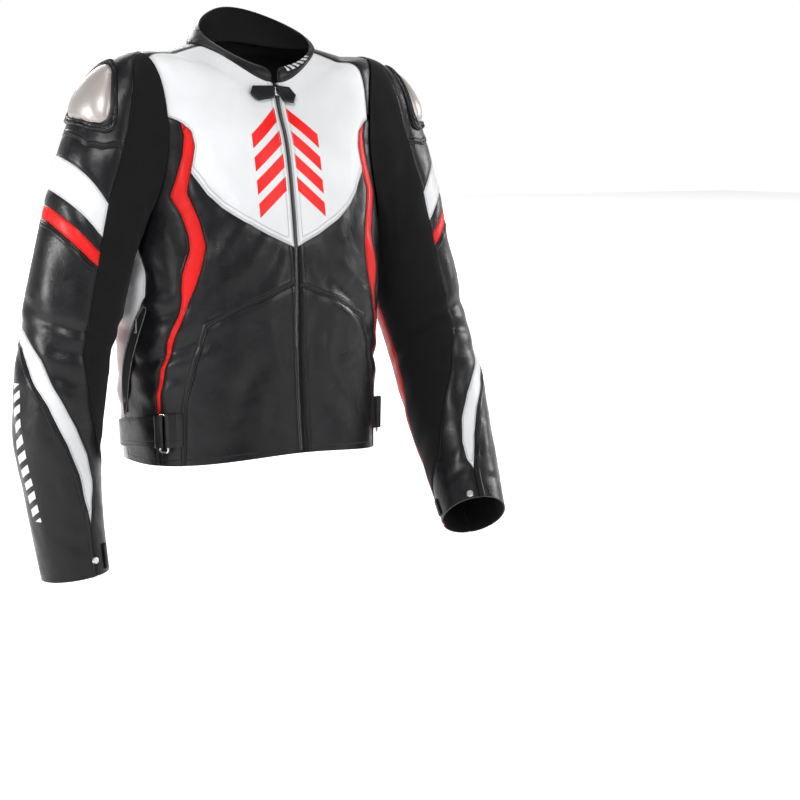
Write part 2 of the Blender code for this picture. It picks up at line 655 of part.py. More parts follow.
def front_closure():
    """Zip between the fronts, its slider, and the two overlapping collar tabs."""
    grid = Grid(body, np.linspace(-3, 3, 5), np.linspace(0, LAST_RING - ZIP_TOP, 12))
    strip = [ZIP_HALF - SEAM_GAP - sign * grid.points[..., 0] for sign in SIGNS.values()]
    wall("front_zip", panel_loops(grid, strip), LEATHER, "metal", -ZIP_SUNK)
    slider = body(np.array(0.0), np.array(SLIDER["ring"]))
    up = unit(body(np.array(0.0), np.array(SLIDER["ring"] + 0.1)) - slider)
    across = np.array([1.0, 0.0, 0.0])
    out = np.cross(across, up)
    middle = slider + out * (SLIDER["sizes"][2] / 2 + REST_GAP)
    block("zip_slider", middle, across, up, out, np.array(SLIDER["sizes"]), "metal")
    tabs = ("collar_tab_right", TAB_RIGHT, TAB["low"]), ("collar_tab_left", TAB_LEFT, TAB["high"])
    for name, corners, lift in tabs:
        grid = Grid(body, np.linspace(-44, 34, 10), np.linspace(6.2, LAST_RING - 0.02, 6))
        x, z = grid.points[..., 0], grid.points[..., 2]
        fields = []
        for (x0, z0), (x1, z1) in zip(corners, corners[1:] + corners[:1]):
            length = np.hypot(x1 - x0, z1 - z0)
            fields.append(((x1 - x0) * (z - z0) - (z1 - z0) * (x - x0)) / length)
        wall(name, panel_loops(grid, fields), TAB["thick"], "leather", lift)


def cuff_trim(side):
    """Snap and zip puller at the cuff."""
    facing = SIGNS[side]
    surface = sleeve_of(side)
    *at, lift = [np.array(value, float) for value in SNAP[side]]
    middle, out = surface(*at), normals_of(surface, *at, facing)
    bpy.ops.mesh.primitive_cone_add(vertices=14, radius1=SNAP["radius"], radius2=SNAP["radius"] * 0.8,
                                    depth=SNAP["height"], end_fill_type="NGON")
    made = bpy.context.object
    made.name = f"cuff_snap_{side}"
    up = unit(np.cross(out, [0.0, 1.0, 0.0]))
    turned = np.stack([np.cross(up, out), up, out], 1)
    middle = middle + out * (SNAP["height"] / 2 + lift)
    for vertex in made.data.vertices:
        vertex.co = middle + turned @ np.array(vertex.co)
    placed(made, "metal")
    angle, start, end = CUFF_TAB[side]
    half = CUFF_TAB["half_degrees"]
    grid = Grid(surface, np.array([angle - half, angle, angle + half]), np.linspace(start, end, 4), facing)
    wall(f"cuff_tab_{side}", panel_loops(grid, []), STRAP, "leather", TRIM_GAP + STRAP)


def main():
    body_panels()
    collar_band()
    front_closure()
    for side in ("right", "left"):
        sleeve_panels(side)
        shoulder_plate(side)
        belt(side)
        pocket(side)
        cuff_trim(side)


for old in list(bpy.data.objects):
    bpy.data.objects.remove(old)
JACKET = bpy.data.collections.new("racing_jacket")
bpy.context.scene.collection.children.link(JACKET)
MATERIALS = {name: material(name) for name in COLOURS}
main()
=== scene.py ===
import math

import bpy
import numpy as np

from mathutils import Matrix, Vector

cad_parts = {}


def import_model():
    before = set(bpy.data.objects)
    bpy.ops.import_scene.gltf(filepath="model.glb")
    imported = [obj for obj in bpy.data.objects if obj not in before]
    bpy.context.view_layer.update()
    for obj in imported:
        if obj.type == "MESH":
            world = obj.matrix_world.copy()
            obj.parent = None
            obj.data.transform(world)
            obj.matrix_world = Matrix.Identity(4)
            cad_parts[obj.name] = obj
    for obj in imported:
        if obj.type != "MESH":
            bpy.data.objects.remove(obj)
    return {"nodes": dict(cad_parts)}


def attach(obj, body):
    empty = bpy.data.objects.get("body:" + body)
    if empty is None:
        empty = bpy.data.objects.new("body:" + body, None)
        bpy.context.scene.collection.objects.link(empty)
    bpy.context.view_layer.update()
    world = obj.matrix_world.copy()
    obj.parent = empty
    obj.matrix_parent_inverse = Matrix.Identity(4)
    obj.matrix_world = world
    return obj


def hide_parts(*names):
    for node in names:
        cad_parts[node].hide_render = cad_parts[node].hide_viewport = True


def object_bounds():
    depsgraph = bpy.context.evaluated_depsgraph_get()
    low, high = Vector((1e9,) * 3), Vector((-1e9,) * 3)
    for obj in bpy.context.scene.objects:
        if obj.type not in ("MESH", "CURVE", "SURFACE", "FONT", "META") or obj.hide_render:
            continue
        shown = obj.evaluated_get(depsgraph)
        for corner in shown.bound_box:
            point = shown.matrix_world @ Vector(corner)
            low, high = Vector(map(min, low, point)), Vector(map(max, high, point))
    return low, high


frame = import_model()
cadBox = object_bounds()

# Cloth and seams
leatherThick = 0.0016
textileThick = 0.0014
strap = 0.0024
seamGap = 0.0003
restGap = 0.0004
strapGap = 0.0007
trimGap = 0.0006

# The zip, the collar's front gap and its rounded corners
zipHalf = 0.0022
collarGap = 0.0045
collarCorner = 0.012
collarThick = 0.0028
zipSunk = 0.0008
zipTop = 0.02

# Rings round the body, from the hem to the neck seam. A side's height differs from the front's and
# the back's, so the upper rings climb over the shoulders.
ringColumns = ("half_width", "front", "back", "z_front", "z_side", "z_back", "squareness", "middle")
bodyRings = (
    (0.173, 0.1416, 0.140, -0.534, -0.550, -0.565, 2.4, -0.006),
    (0.176, 0.1363, 0.140, -0.487, -0.500, -0.510, 2.4, -0.006),
    (0.181, 0.1310, 0.138, -0.400, -0.410, -0.415, 2.4, -0.006),
    (0.183, 0.1275, 0.136, -0.310, -0.325, -0.325, 2.4, -0.003),
    (0.185, 0.1180, 0.135, -0.225, -0.255, -0.230, 2.4, 0.000),
    (0.182, 0.1020, 0.128, -0.134, -0.150, -0.120, 2.3, 0.000),
    (0.190, 0.0840, 0.100, -0.090, -0.024, -0.030, 2.2, 0.000),
    (0.132, 0.0745, 0.074, -0.066, -0.008, 0.002, 2.1, 0.001),
    (0.092, 0.0683, 0.062, -0.0487, 0.002, 0.014, 2.0, 0.002),
)
lastRing = len(bodyRings) - 1

# The armhole seam, an oval in ring angle (degrees from the front) and ring number
armhole = {"angle": 89.0, "half_angle": 21.0, "ring": 5.20, "half_rings": 1.15, "lap": 0.0022}

# The collar's top edge
collarTop = {"half_width": 0.079, "front": 0.0625, "back": 0.060, "z_front": -0.027,
             "z_side": 0.019, "z_back": 0.058, "bulge": 0.003, "middle": 0.008}

# Middle of each sleeve from the shoulder to the cuff
sleeveColumns = ("z", "x", "y")
sleeves = {
    "right": (
        (-0.050, -0.190, -0.016), (-0.150, -0.216, -0.008), (-0.265, -0.241, 0.004),
        (-0.336, -0.259, 0.010), (-0.385, -0.270, 0.012), (-0.443, -0.281, 0.010),
        (-0.506, -0.288, 0.006), (-0.569, -0.285, 0.002), (-0.623, -0.280, 0.000),
        (-0.690, -0.272, -0.004),
    ),
    "left": (
        (-0.050, 0.190, -0.016), (-0.150, 0.214, -0.012), (-0.250, 0.238, -0.008),
        (-0.330, 0.260, -0.010), (-0.400, 0.276, -0.020), (-0.460, 0.279, -0.048),
        (-0.520, 0.274, -0.083), (-0.575, 0.266, -0.122), (-0.608, 0.259, -0.148),
        (-0.640, 0.250, -0.177),
    ),
}
cuffRow = 9.0
capRow = 3.0
# Half sizes across the arm and from its front to its rear, by row
girth = (
    (3.0, 0.0640, 0.0680),
    (4.0, 0.0590, 0.0650),
    (5.0, 0.0600, 0.0630),
    (6.0, 0.0570, 0.0600),
    (7.0, 0.0510, 0.0540),
    (8.0, 0.0475, 0.0500),
    (9.0, 0.0445, 0.0470),
)
# How far the sleeve cap bulges out of the armhole, and how it runs into the arm
capSizes = {"lift": 0.9, "run": 1.0, "under_out": 0.25, "under_drop": 0.60, "top_drop": 0.12,
            "top_out": {"right": 0.8, "left": 1.0}}

# Body seams: height against degrees from the front, the same on both sides
stripeInner = (
    (-0.479, 70.5), (-0.435, 67.8), (-0.402, 65.0), (-0.365, 60.2), (-0.335, 57.0), (-0.311, 53.8),
    (-0.288, 51.8), (-0.259, 50.5), (-0.227, 53.8), (-0.191, 59.8), (-0.164, 58.8), (-0.131, 57.7),
    (-0.112, 59.5), (-0.100, 64.0), (-0.080, 80.0),
)
stripeOuter = (
    (-0.479, 72.2), (-0.447, 70.8), (-0.419, 68.8), (-0.381, 65.0), (-0.349, 61.2), (-0.328, 59.6),
    (-0.316, 60.0), (-0.295, 59.8), (-0.264, 57.2), (-0.246, 58.2), (-0.219, 61.8), (-0.195, 67.0),
    (-0.173, 64.8), (-0.143, 62.8), (-0.118, 62.4), (-0.100, 64.0), (-0.080, 80.0),
)
sideBack = ((-0.560, 99.0), (-0.444, 99.0), (-0.390, 91.5), (-0.355, 83.0), (-0.325, 77.0),
            (-0.286, 79.0), (-0.250, 83.0))
backEdge = ((-0.560, 118.0), (-0.400, 120.0), (-0.250, 122.0), (-0.200, 118.0), (-0.170, 110.0))
slantSide = ((-0.560, 57.6), (-0.466, 57.0), (-0.433, 54.0), (-0.393, 50.5), (-0.363, 47.5),
             (-0.300, 44.0))
# Degrees from the front against height
chestEdge = ((0, -0.264), (8, -0.256), (17.5, -0.247), (33, -0.228), (44, -0.210), (51, -0.193),
             (58.5, -0.166), (64, -0.140))
slantTop = ((0, -0.312), (15, -0.326), (30, -0.339), (47.5, -0.363), (56, -0.376))
stripeEnd = -0.479
yokeEdge = {"right": 78.0, "left": 67.0}
yokeBack = -0.120
sideTop = -0.090
# Degrees from the front where the back panel may begin
backStart = 100.0

# Sleeve seams. Angle runs from 0 at the outside through 90 at the front to 180 at the inside.
textileEdge = ((0.0, 20), (0.25, 30), (0.5, 50), (0.9, 63), (1.3, 69), (1.7, 71), (2.1, 76),
               (2.5, 81), (3.0, 85), (3.7, 86), (4.25, 89), (4.8, 100), (5.3, 110), (6.0, 130),
               (7.0, 158), (7.6, 186), (8.2, 216), (9.0, 240))
stripeHigh = ((3.50, -75), (3.91, -2), (4.05, 10), (4.47, 36), (5.05, 60), (5.79, 91), (6.37, 108),
              (6.91, 116), (7.52, 114), (7.95, 106))
stripeLow = ((3.80, -75), (4.28, -4), (4.70, 19), (5.40, 53), (6.11, 78), (6.76, 93), (7.50, 102),
             (7.95, 106))
capEdge = ((-75, 1.35), (0, 1.43), (33, 1.47), (51, 1.37), (66, 1.13), (75, 0.95))
bandAngles = (-75, 5, 70)
bands = {
    "upper_sleeve": (1.55, 1.65, 1.73),
    "white_band": (1.88, 1.98, 2.08),
    "band_gap": (2.03, 2.12, 2.24),
    "red_band": (2.16, 2.25, 2.41),
}
gussetEdge = ((0.0, 230), (2.4, 230), (2.9, 182), (5.0, 186), (6.2, 211), (9.0, 216))
rearSeam = -70.0
underSeam = 222.0

# The hard shoulder plate: degrees either side of its middle against row
plateSizes = {"middle": 6.0, "row": 0.95, "row_degrees": 88.0, "rise": 0.0075, "thick": 0.0018,
              "rim_start": 1.03, "rim_end": 1.24}
plateOutline = ((0.50, 0), (0.54, 9), (0.66, 20), (0.82, 30), (1.00, 37), (1.12, 36), (1.20, 27),
                (1.235, 14), (1.245, 0))

beltSizes = {"row_low": 0.58, "row_high": 1.26, "front": 67.0, "back": 114.0, "drop": 0.26}
anchorAngles = {"front": 58.8, "back": 66.0}
# The straps' ends are folded over the bars of a ring, at this angle: half reach and slope in degrees
ringFold = {"angle": 67.3, "reach": 5.6, "slope": 2.4, "rise": 0.0066}
# The pocket's zip, as height against angle, and how far its tape spreads forwards
pocketSizes = {"half_degrees": 1.4, "spread": 6.5,
               "path": ((-0.338, 77.5), (-0.355, 82.0), (-0.390, 89.5), (-0.444, 97.0), (-0.486, 97.5))}
# The collar tabs' corners, across from the middle and up
tabSizes = {"thick": 0.0018, "low": 0.0051, "high": 0.0073}
tabRight = [(-0.036, -0.0741), (-0.0082, -0.070), (-0.003, -0.0535), (-0.038, -0.0545), (-0.045, -0.064)]
tabLeft = [(0.0010, -0.0685), (0.0056, -0.0755), (0.0192, -0.0775), (0.0252, -0.067), (0.0176, -0.0565),
            (-0.0032, -0.0535)]
# Angle, first row and last row of the tab at each cuff
cuffTab = {"half_degrees": 5.0, "right": (131, 8.45, 8.92), "left": (198, 8.3, 8.85)}

signs = {"right": -1, "left": 1}


# A smooth curve through a table, read at x against its first column
def smooth(table, x, column=1):
    table = np.asarray(table, float)
    order = np.argsort(table[:, 0])
    xs, ys = table[order, 0], table[order, column]
    slopes = np.gradient(ys, xs)
    x = np.clip(x, xs[0], xs[-1])
    k = np.clip(np.searchsorted(xs, x, side="right") - 1, 0, len(xs) - 2)
    step = xs[k + 1] - xs[k]
    s = (x - xs[k]) / step
    start = (2 * s**3 - 3 * s**2 + 1) * ys[k] + (s**3 - 2 * s**2 + s) * step * slopes[k]
    end = (3 * s**2 - 2 * s**3) * ys[k + 1] + (s**3 - s**2) * step * slopes[k + 1]
    return start + end


# Straight lines through a table
def straight(table, x):
    table = np.asarray(sorted(table), float)
    return np.interp(x, table[:, 0], table[:, 1])


# One named column of a table, whose lines are numbered from 0
def columnAt(table, columns, name, x):
    numbered = [(k, row[columns.index(name)]) for k, row in enumerate(table)]
    return smooth(numbered, x)


# Reach of a rounded, squarish ring at an angle from the front
def oval(angle, halfWidth, front, back, squareness):
    depth = np.where(np.cos(angle) > 0, front, back)
    across = np.abs(np.sin(angle) / halfWidth) ** squareness
    along = np.abs(np.cos(angle) / depth) ** squareness
    return (across + along) ** (-1 / squareness)


# The body's outer surface: angle in degrees from the front, positive to the wearer's left
def body(angle, ring):
    at = {name: columnAt(bodyRings, ringColumns, name, ring) for name in ringColumns}
    turn = np.radians(angle)
    reach = oval(turn, at["half_width"], at["front"], at["back"], at["squareness"])
    ends = np.where(np.cos(turn) > 0, at["z_front"], at["z_back"])
    z = at["z_side"] + (ends - at["z_side"]) * np.cos(turn) ** 2
    return np.stack([at["middle"] + reach * np.sin(turn), -reach * np.cos(turn), z], -1)


# The collar band, from the neck seam at 0 to its top edge at 1
def collar(angle, share):
    turn = np.radians(angle)
    top = collarTop
    reach = oval(turn, top["half_width"], top["front"], top["back"], 2.0)
    ends = np.where(np.cos(turn) > 0, top["z_front"], top["z_back"])
    z = top["z_side"] + (ends - top["z_side"]) * np.abs(np.cos(turn))
    toLeft = top["middle"] * np.abs(np.sin(turn))
    rim = np.stack([toLeft + reach * np.sin(turn), -reach * np.cos(turn), z], -1)
    foot = body(angle, np.full_like(turn, lastRing))
    out = np.stack([np.sin(turn), -np.cos(turn), 0 * turn], -1)
    share = share[..., None]
    return foot + (rim - foot) * share + out * top["bulge"] * 4 * share * (1 - share)


def unit(vectors):
    return vectors / np.linalg.norm(vectors, axis=-1, keepdims=True)


# Rings square to the sleeve's middle line, and the line's direction
def arm(side, angle, row):
    sign = signs[side]
    table = sleeves[side]

    def middle(at):
        return np.stack([columnAt(table, sleeveColumns, name, at) for name in "xyz"], -1)

    step = 0.01
    along = unit(middle(np.minimum(row + step, cuffRow)) - middle(np.maximum(row - step, 0)))
    sideWay = np.array([sign, 0.0, 0.0])
    outward = unit(sideWay - along * (along @ sideWay)[..., None])
    forward = np.cross(along, outward) * sign
    turn = np.radians(angle)
    across = (smooth(girth, row, 1) * np.cos(turn))[..., None]
    depth = (smooth(girth, row, 2) * np.sin(turn))[..., None]
    return middle(row) + across * outward + depth * forward, along


# The sleeve's outer surface, whose row 0 is the armhole seam
def sleeveOf(side):
    sign = signs[side]

    def sleeve(angle, row):
        turn = np.radians(angle)
        edgeAngle = sign * (armhole["angle"] - armhole["half_angle"] * np.sin(turn))
        edgeRing = armhole["ring"] + armhole["half_rings"] * np.cos(turn)
        hole = body(edgeAngle, edgeRing)
        hole = hole + normalsOf(body, edgeAngle, edgeRing, 1) * armhole["lap"]
        tube, _ = arm(side, angle, np.maximum(row, capRow))
        foot, along = arm(side, angle, np.full_like(row, capRow))
        span = np.linalg.norm(foot - hole, axis=-1, keepdims=True)
        top = 0.5 + 0.5 * np.cos(turn)
        out = capSizes["under_out"] + (capSizes["top_out"][side] - capSizes["under_out"]) * top
        drop = capSizes["under_drop"] + (capSizes["top_drop"] - capSizes["under_drop"]) * top
        leave = np.stack([sign * out, 0 * top, -drop], -1) * span * capSizes["lift"]
        arrive = along * span * capSizes["run"]
        s = np.clip(row / capRow, 0, 1)[..., None]
        start = (2 * s**3 - 3 * s**2 + 1) * hole + (s**3 - 2 * s**2 + s) * leave
        end = (3 * s**2 - 2 * s**3) * foot + (s**3 - s**2) * arrive
        return np.where(row[..., None] <= capRow, start + end, tube)

    return sleeve


# Directions square to a surface, from small steps along both of its parameters
def normalsOf(surface, first, second, facing):
    turn, climb = 0.05, 0.002
    around = surface(first + turn, second) - surface(first - turn, second)
    upward = surface(first, second + climb) - surface(first, second - climb)
    return unit(np.cross(around, upward)) * facing


# How finely the visible cloth is divided, in degrees and rows
fine = {"body_degrees": 1.5, "body_rows": 170, "sleeve_degrees": 4.0, "sleeve_rows": 190}
# A seam pulls the leather down beside it, and a rib stands up between two rows of stitches
sew = {"dip": 0.0011, "dip_width": 0.0028, "edge": 0.0024, "second": 0.0082, "rib": 0.0010,
       "step": 0.0034, "length": 0.0023, "radius": 0.00032}
# How far the body's cloth runs on under the sleeves
underLap = 0.006
# Metres along the cloth for a degree round it, and for a row of the sleeve
degreeRun = {"body": 0.0029, "sleeve": 0.00108, "collar": 0.0012, "patch": 0.001}
rowRun = 0.0765
# The least width that a piece's measured size is given
leastWidth = 0.0102
# How far the hem's row of stitches lies above the edge
hemStitch = 0.0085
# A pair of zip teeth: step along the zip, half shift, reach to both sides, half length and height
toothSizes = {"step": 0.0021, "shift": 0.0005, "reach": 0.0022, "past": 0.0006, "half": 0.0004,
              "height": 0.0011}
# Soft folds: angle and height of the middle, half length, half width, depth (down is a trough)
# and lean in degrees from upright
foldColumns = ("angle", "place", "long", "wide", "deep", "lean")
bodyFolds = (
    (-52, -0.360, 0.050, 0.010, -0.0030, 35), (-60, -0.395, 0.045, 0.009, -0.0028, 60),
    (-44, -0.330, 0.040, 0.012, 0.0022, 30), (-66, -0.300, 0.050, 0.010, -0.0030, -25),
    (-72, -0.350, 0.040, 0.009, -0.0035, 70), (-76, -0.410, 0.035, 0.008, -0.0030, 80),
    (-70, -0.450, 0.030, 0.009, 0.0025, 75), (-30, -0.470, 0.060, 0.014, -0.0025, 15),
    (-12, -0.400, 0.060, 0.016, 0.0020, -10), (-20, -0.290, 0.060, 0.014, -0.0022, 50),
    (-36, -0.250, 0.050, 0.012, 0.0022, 40), (-50, -0.180, 0.050, 0.012, -0.0026, -30),
    (10, -0.380, 0.060, 0.014, -0.0024, 12), (26, -0.440, 0.055, 0.013, 0.0024, -18),
    (38, -0.330, 0.050, 0.011, -0.0030, -40), (52, -0.370, 0.045, 0.010, -0.0030, -55),
    (60, -0.300, 0.050, 0.010, 0.0026, -30), (66, -0.420, 0.035, 0.009, -0.0030, -75),
    (48, -0.200, 0.050, 0.012, -0.0026, 30), (20, -0.300, 0.055, 0.015, -0.0020, -45),
    (84, -0.300, 0.050, 0.010, -0.0032, 60), (-84, -0.290, 0.050, 0.010, -0.0032, -60),
    (92, -0.380, 0.045, 0.009, -0.0032, 75), (-94, -0.370, 0.045, 0.009, -0.0032, -78),
    (104, -0.450, 0.045, 0.010, 0.0026, 70), (-106, -0.460, 0.045, 0.010, 0.0026, -68),
    (118, -0.260, 0.060, 0.013, -0.0032, 40), (-116, -0.250, 0.060, 0.013, -0.0032, -38),
    (140, -0.380, 0.070, 0.014, -0.0034, 65), (-142, -0.370, 0.070, 0.014, -0.0034, -62),
    (165, -0.440, 0.080, 0.016, -0.0036, 80), (-160, -0.330, 0.080, 0.016, -0.0034, -75),
    (172, -0.250, 0.060, 0.018, 0.0026, 20), (-130, -0.180, 0.060, 0.014, -0.0030, -50),
    (132, -0.170, 0.060, 0.014, -0.0030, 48), (150, -0.100, 0.050, 0.016, -0.0022, 10),
)
sleeveFolds = (
    (70, 0.75, 0.040, 0.009, -0.0030, 20), (95, 1.10, 0.045, 0.009, -0.0032, -30),
    (120, 0.95, 0.040, 0.009, -0.0034, 25), (60, 1.90, 0.035, 0.010, -0.0026, 60),
    (30, 2.60, 0.050, 0.012, -0.0028, 35), (55, 3.05, 0.045, 0.011, 0.0026, 60),
    (20, 3.30, 0.050, 0.012, -0.0032, 72), (60, 3.55, 0.045, 0.010, -0.0036, 80),
    (100, 3.70, 0.045, 0.009, -0.0042, 88), (130, 3.95, 0.045, 0.009, -0.0040, 82),
    (85, 4.20, 0.050, 0.010, -0.0044, 75), (40, 4.05, 0.050, 0.012, 0.0030, 70),
    (15, 4.55, 0.050, 0.012, -0.0030, 58), (65, 4.75, 0.045, 0.011, -0.0032, 62),
    (30, 5.30, 0.050, 0.013, 0.0026, 40), (80, 5.60, 0.045, 0.010, -0.0028, 45),
    (10, 6.20, 0.050, 0.012, -0.0026, 30), (50, 6.70, 0.045, 0.011, -0.0026, 25),
    (95, 7.10, 0.040, 0.010, -0.0026, 40), (25, 7.60, 0.045, 0.011, 0.0022, 20),
    (60, 8.20, 0.035, 0.010, -0.0022, 50), (120, 7.60, 0.040, 0.010, -0.0026, 35),
    (150, 3.30, 0.045, 0.010, -0.0036, 80), (170, 4.30, 0.045, 0.010, -0.0036, 75),
    (190, 2.20, 0.050, 0.012, -0.0030, 40), (-30, 3.60, 0.050, 0.014, -0.0030, 60),
    (-50, 4.60, 0.050, 0.013, -0.0030, 55), (-70, 3.00, 0.050, 0.014, 0.0026, 30),
    (-20, 5.60, 0.050, 0.012, -0.0026, 40), (-60, 6.60, 0.050, 0.012, -0.0026, 35),
    (210, 5.40, 0.050, 0.012, -0.0030, 50), (230, 7.00, 0.045, 0.012, -0.0026, 35),
    (160, 6.30, 0.045, 0.011, -0.0028, 50), (-80, 8.00, 0.040, 0.011, -0.0024, 30),
)


# Depth of every fold at a spot, with the folds' sizes measured along the cloth
def foldDepth(folds, angle, place, perDegree, perPlace):
    depth = np.zeros_like(angle)
    for row in folds:
        fold = dict(zip(foldColumns, row))
        across = (angle - fold["angle"]) * perDegree
        upward = (place - fold["place"]) * perPlace
        lean = math.radians(fold["lean"])
        along = upward * math.cos(lean) + across * math.sin(lean)
        beside = across * math.cos(lean) - upward * math.sin(lean)
        beside = beside + 0.12 * fold["long"] * np.sin(along / fold["long"] * 2.2 + fold["angle"])
        trough = np.exp(-((beside / fold["wide"]) ** 2))
        swell = 0.45 * np.exp(-(((np.abs(beside) - 2.1 * fold["wide"]) / fold["wide"]) ** 2))
        depth += fold["deep"] * (trough - swell) * np.exp(-((along / fold["long"]) ** 4))
    return depth


# The depths of a cloth with no folds
def unfolded(cloth):
    return np.zeros_like(cloth.first)


# A surface sampled finely, with its folds pressed in
class Cloth:
    def __init__(self, surface, firsts, seconds, facing, depthAt, across):
        self.facing = facing
        self.first, self.second = np.meshgrid(firsts, seconds)
        self.points = surface(self.first, self.second)
        self.normals = normalsOf(surface, self.first, self.second, facing)
        self.height = self.points[..., 2]
        self.sizes = [np.gradient(self.points, axis=1), np.gradient(self.points, axis=0)]
        self.shape = self.points + self.normals * depthAt(self)[..., None]
        steps = np.linalg.norm(np.diff(self.points, axis=0), axis=-1).mean(axis=1)
        runs = np.concatenate([[0], np.cumsum(steps)])
        self.along = np.broadcast_to(runs[:, None], self.first.shape)
        self.across = self.first * across
        u, v = np.gradient(self.shape, axis=1), np.gradient(self.shape, axis=0)
        self.bent = unit(np.cross(u, v)) * facing
        self.bent = np.where(np.isfinite(self.bent), self.bent, self.normals)

    # A field that is 0 on a seam, scaled to metres from it
    def distance(self, values):
        gu, gv = np.gradient(values, axis=1), np.gradient(values, axis=0)
        pu, pv = self.sizes
        uu, vv, uv = (pu * pu).sum(-1), (pv * pv).sum(-1), (pu * pv).sum(-1)
        slope = (gu**2 * vv - 2 * gu * gv * uv + gv**2 * uu) / np.maximum(uu * vv - uv**2, 1e-15)
        return values / np.sqrt(np.maximum(slope, 1e-12))


# Columns of a corner's row of numbers
columns = {"place": slice(0, 3), "out": slice(3, 6), "uv": slice(6, 8), "height": 8, "seams": 9}


# The part of a loop of corners inside one seam
def clip(loop, k, level):
    kept = []
    for here, after in zip(loop, loop[1:] + loop[:1]):
        if here[k] > level:
            kept.append(here)
        if (here[k] > level) != (after[k] > level):
            low, high = sorted((here, after), key=lambda corner: tuple(corner[:3]))
            kept.append(low + (low[k] - level) / (low[k] - high[k]) * (high - low))
    return kept


# Corners and faces of the cloth where every field is inside its seam
def cutOut(cloth, fields, height=None, level=0.00005):
    height = np.zeros_like(cloth.first) if height is None else height
    parts = [cloth.shape, cloth.bent, np.stack([cloth.across, cloth.along], -1), height[..., None]]
    table = np.concatenate(parts + [field[..., None] for field in fields], -1)
    cells = np.stack([table[:-1, :-1], table[:-1, 1:], table[1:, 1:], table[1:, :-1]], 2)
    cells = cells.reshape(-1, 4, table.shape[-1])
    if cloth.facing < 0:
        cells = cells[:, ::-1]
    seams = cells[:, :, columns["seams"]:]
    inside = (seams > level).all(axis=(1, 2))
    crossed = (seams > level).any(axis=1).all(axis=1) & ~inside
    loops = [list(cell) for cell in cells[inside]]
    for cell in cells[crossed]:
        for corners in ((0, 1, 2), (0, 2, 3)):
            loop = [cell[k] for k in corners]
            for k in range(columns["seams"], table.shape[-1]):
                loop = clip(loop, k, level) if loop else loop
            if len(loop) > 2:
                loops.append(loop)
    counts = [len(loop) for loop in loops]
    rows = np.array([corner for loop in loops for corner in loop])
    keys = np.round(rows[:, :3] / 1e-6).astype(np.int64)
    _, chosen, index = np.unique(keys, axis=0, return_index=True, return_inverse=True)
    faces, start = [], 0
    index = index.reshape(-1)
    for count in counts:
        face = list(dict.fromkeys(index[start:start + count].tolist()))
        start += count
        if len(face) > 2:
            faces.append(face)
    return rows[chosen], faces


# A closed piece of cloth: the corners moved out, the same corners a wall's thickness behind, and
# the cut edges between them. Its inner side takes the second material.
def sewn(name, corners, faces, thick, looks, lift=0.0, dip=True, seams=(), doubles=()):
    place, out = corners[:, columns["place"]], unit(corners[:, columns["out"]])
    rise = lift + corners[:, columns["height"]]
    if dip and corners.shape[1] > columns["seams"]:
        near = np.clip(corners[:, columns["seams"]:].min(axis=1), 0, None)
        rise = rise - sew["dip"] * np.exp(-((near / sew["dip_width"]) ** 2))
    outer = place + out * rise[:, None]
    inner = outer - out * thick
    count = len(corners)
    edges = {(a, b) for face in faces for a, b in zip(face, face[1:] + face[:1])}
    rims = [(b, a, a + count, b + count) for a, b in edges if (b, a) not in edges]
    behind = [[k + count for k in reversed(face)] for face in faces]
    mesh = bpy.data.meshes.new(name)
    mesh.from_pydata(np.concatenate([outer, inner]).tolist(), [], faces + rims + behind)
    mesh.materials.append(looks[0])
    mesh.materials.append(looks[-1])
    slots = np.zeros(len(mesh.polygons), np.int32)
    slots[len(faces) + len(rims):] = 1
    mesh.polygons.foreach_set("material_index", slots)
    lays = mesh.uv_layers.new(name="cloth")
    spots = np.concatenate([corners[:, columns["uv"]]] * 2)
    index = np.zeros(len(mesh.loops), np.int32)
    mesh.loops.foreach_get("vertex_index", index)
    lays.data.foreach_set("uv", spots[index].astype(np.float32).ravel())
    for key, chosen in (("seam", tuple(seams) + tuple(doubles)), ("double", doubles)):
        far = np.full(2 * count, 0.05)
        if chosen:
            far[:count] = corners[:, [columns["seams"] + k for k in chosen]].min(axis=1)
        mesh.attributes.new(key, "FLOAT", "POINT").data.foreach_set("value", far.astype(np.float32))
    piece = bpy.data.objects.new(f"{name}_piece", mesh)
    bpy.context.scene.collection.objects.link(piece)
    mesh.shade_smooth()
    mesh.set_sharp_from_angle(angle=math.radians(50))
    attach(piece, "jacket")
    if looks[-1] is not looks[0]:
        declare(corners, faces)
    return piece


# The size a piece was cut to, measured flat along the cloth before its folds, then left unused
def declare(corners, faces):
    lay = corners[:, columns["uv"]] - corners[:, columns["uv"]].mean(axis=0)
    _, turned = np.linalg.eigh(lay.T @ lay)
    width, length = np.ptp(lay @ turned, axis=0)
    places = corners[:, columns["place"]]
    area = 0.0
    for face in faces:
        spots = places[face]
        area += np.linalg.norm(np.cross(spots[1:-1] - spots[0], spots[2:] - spots[0]), axis=1).sum() / 2
    width = max(np.clip(width, area / length * 1.01, area / length * 3.0), leastWidth)


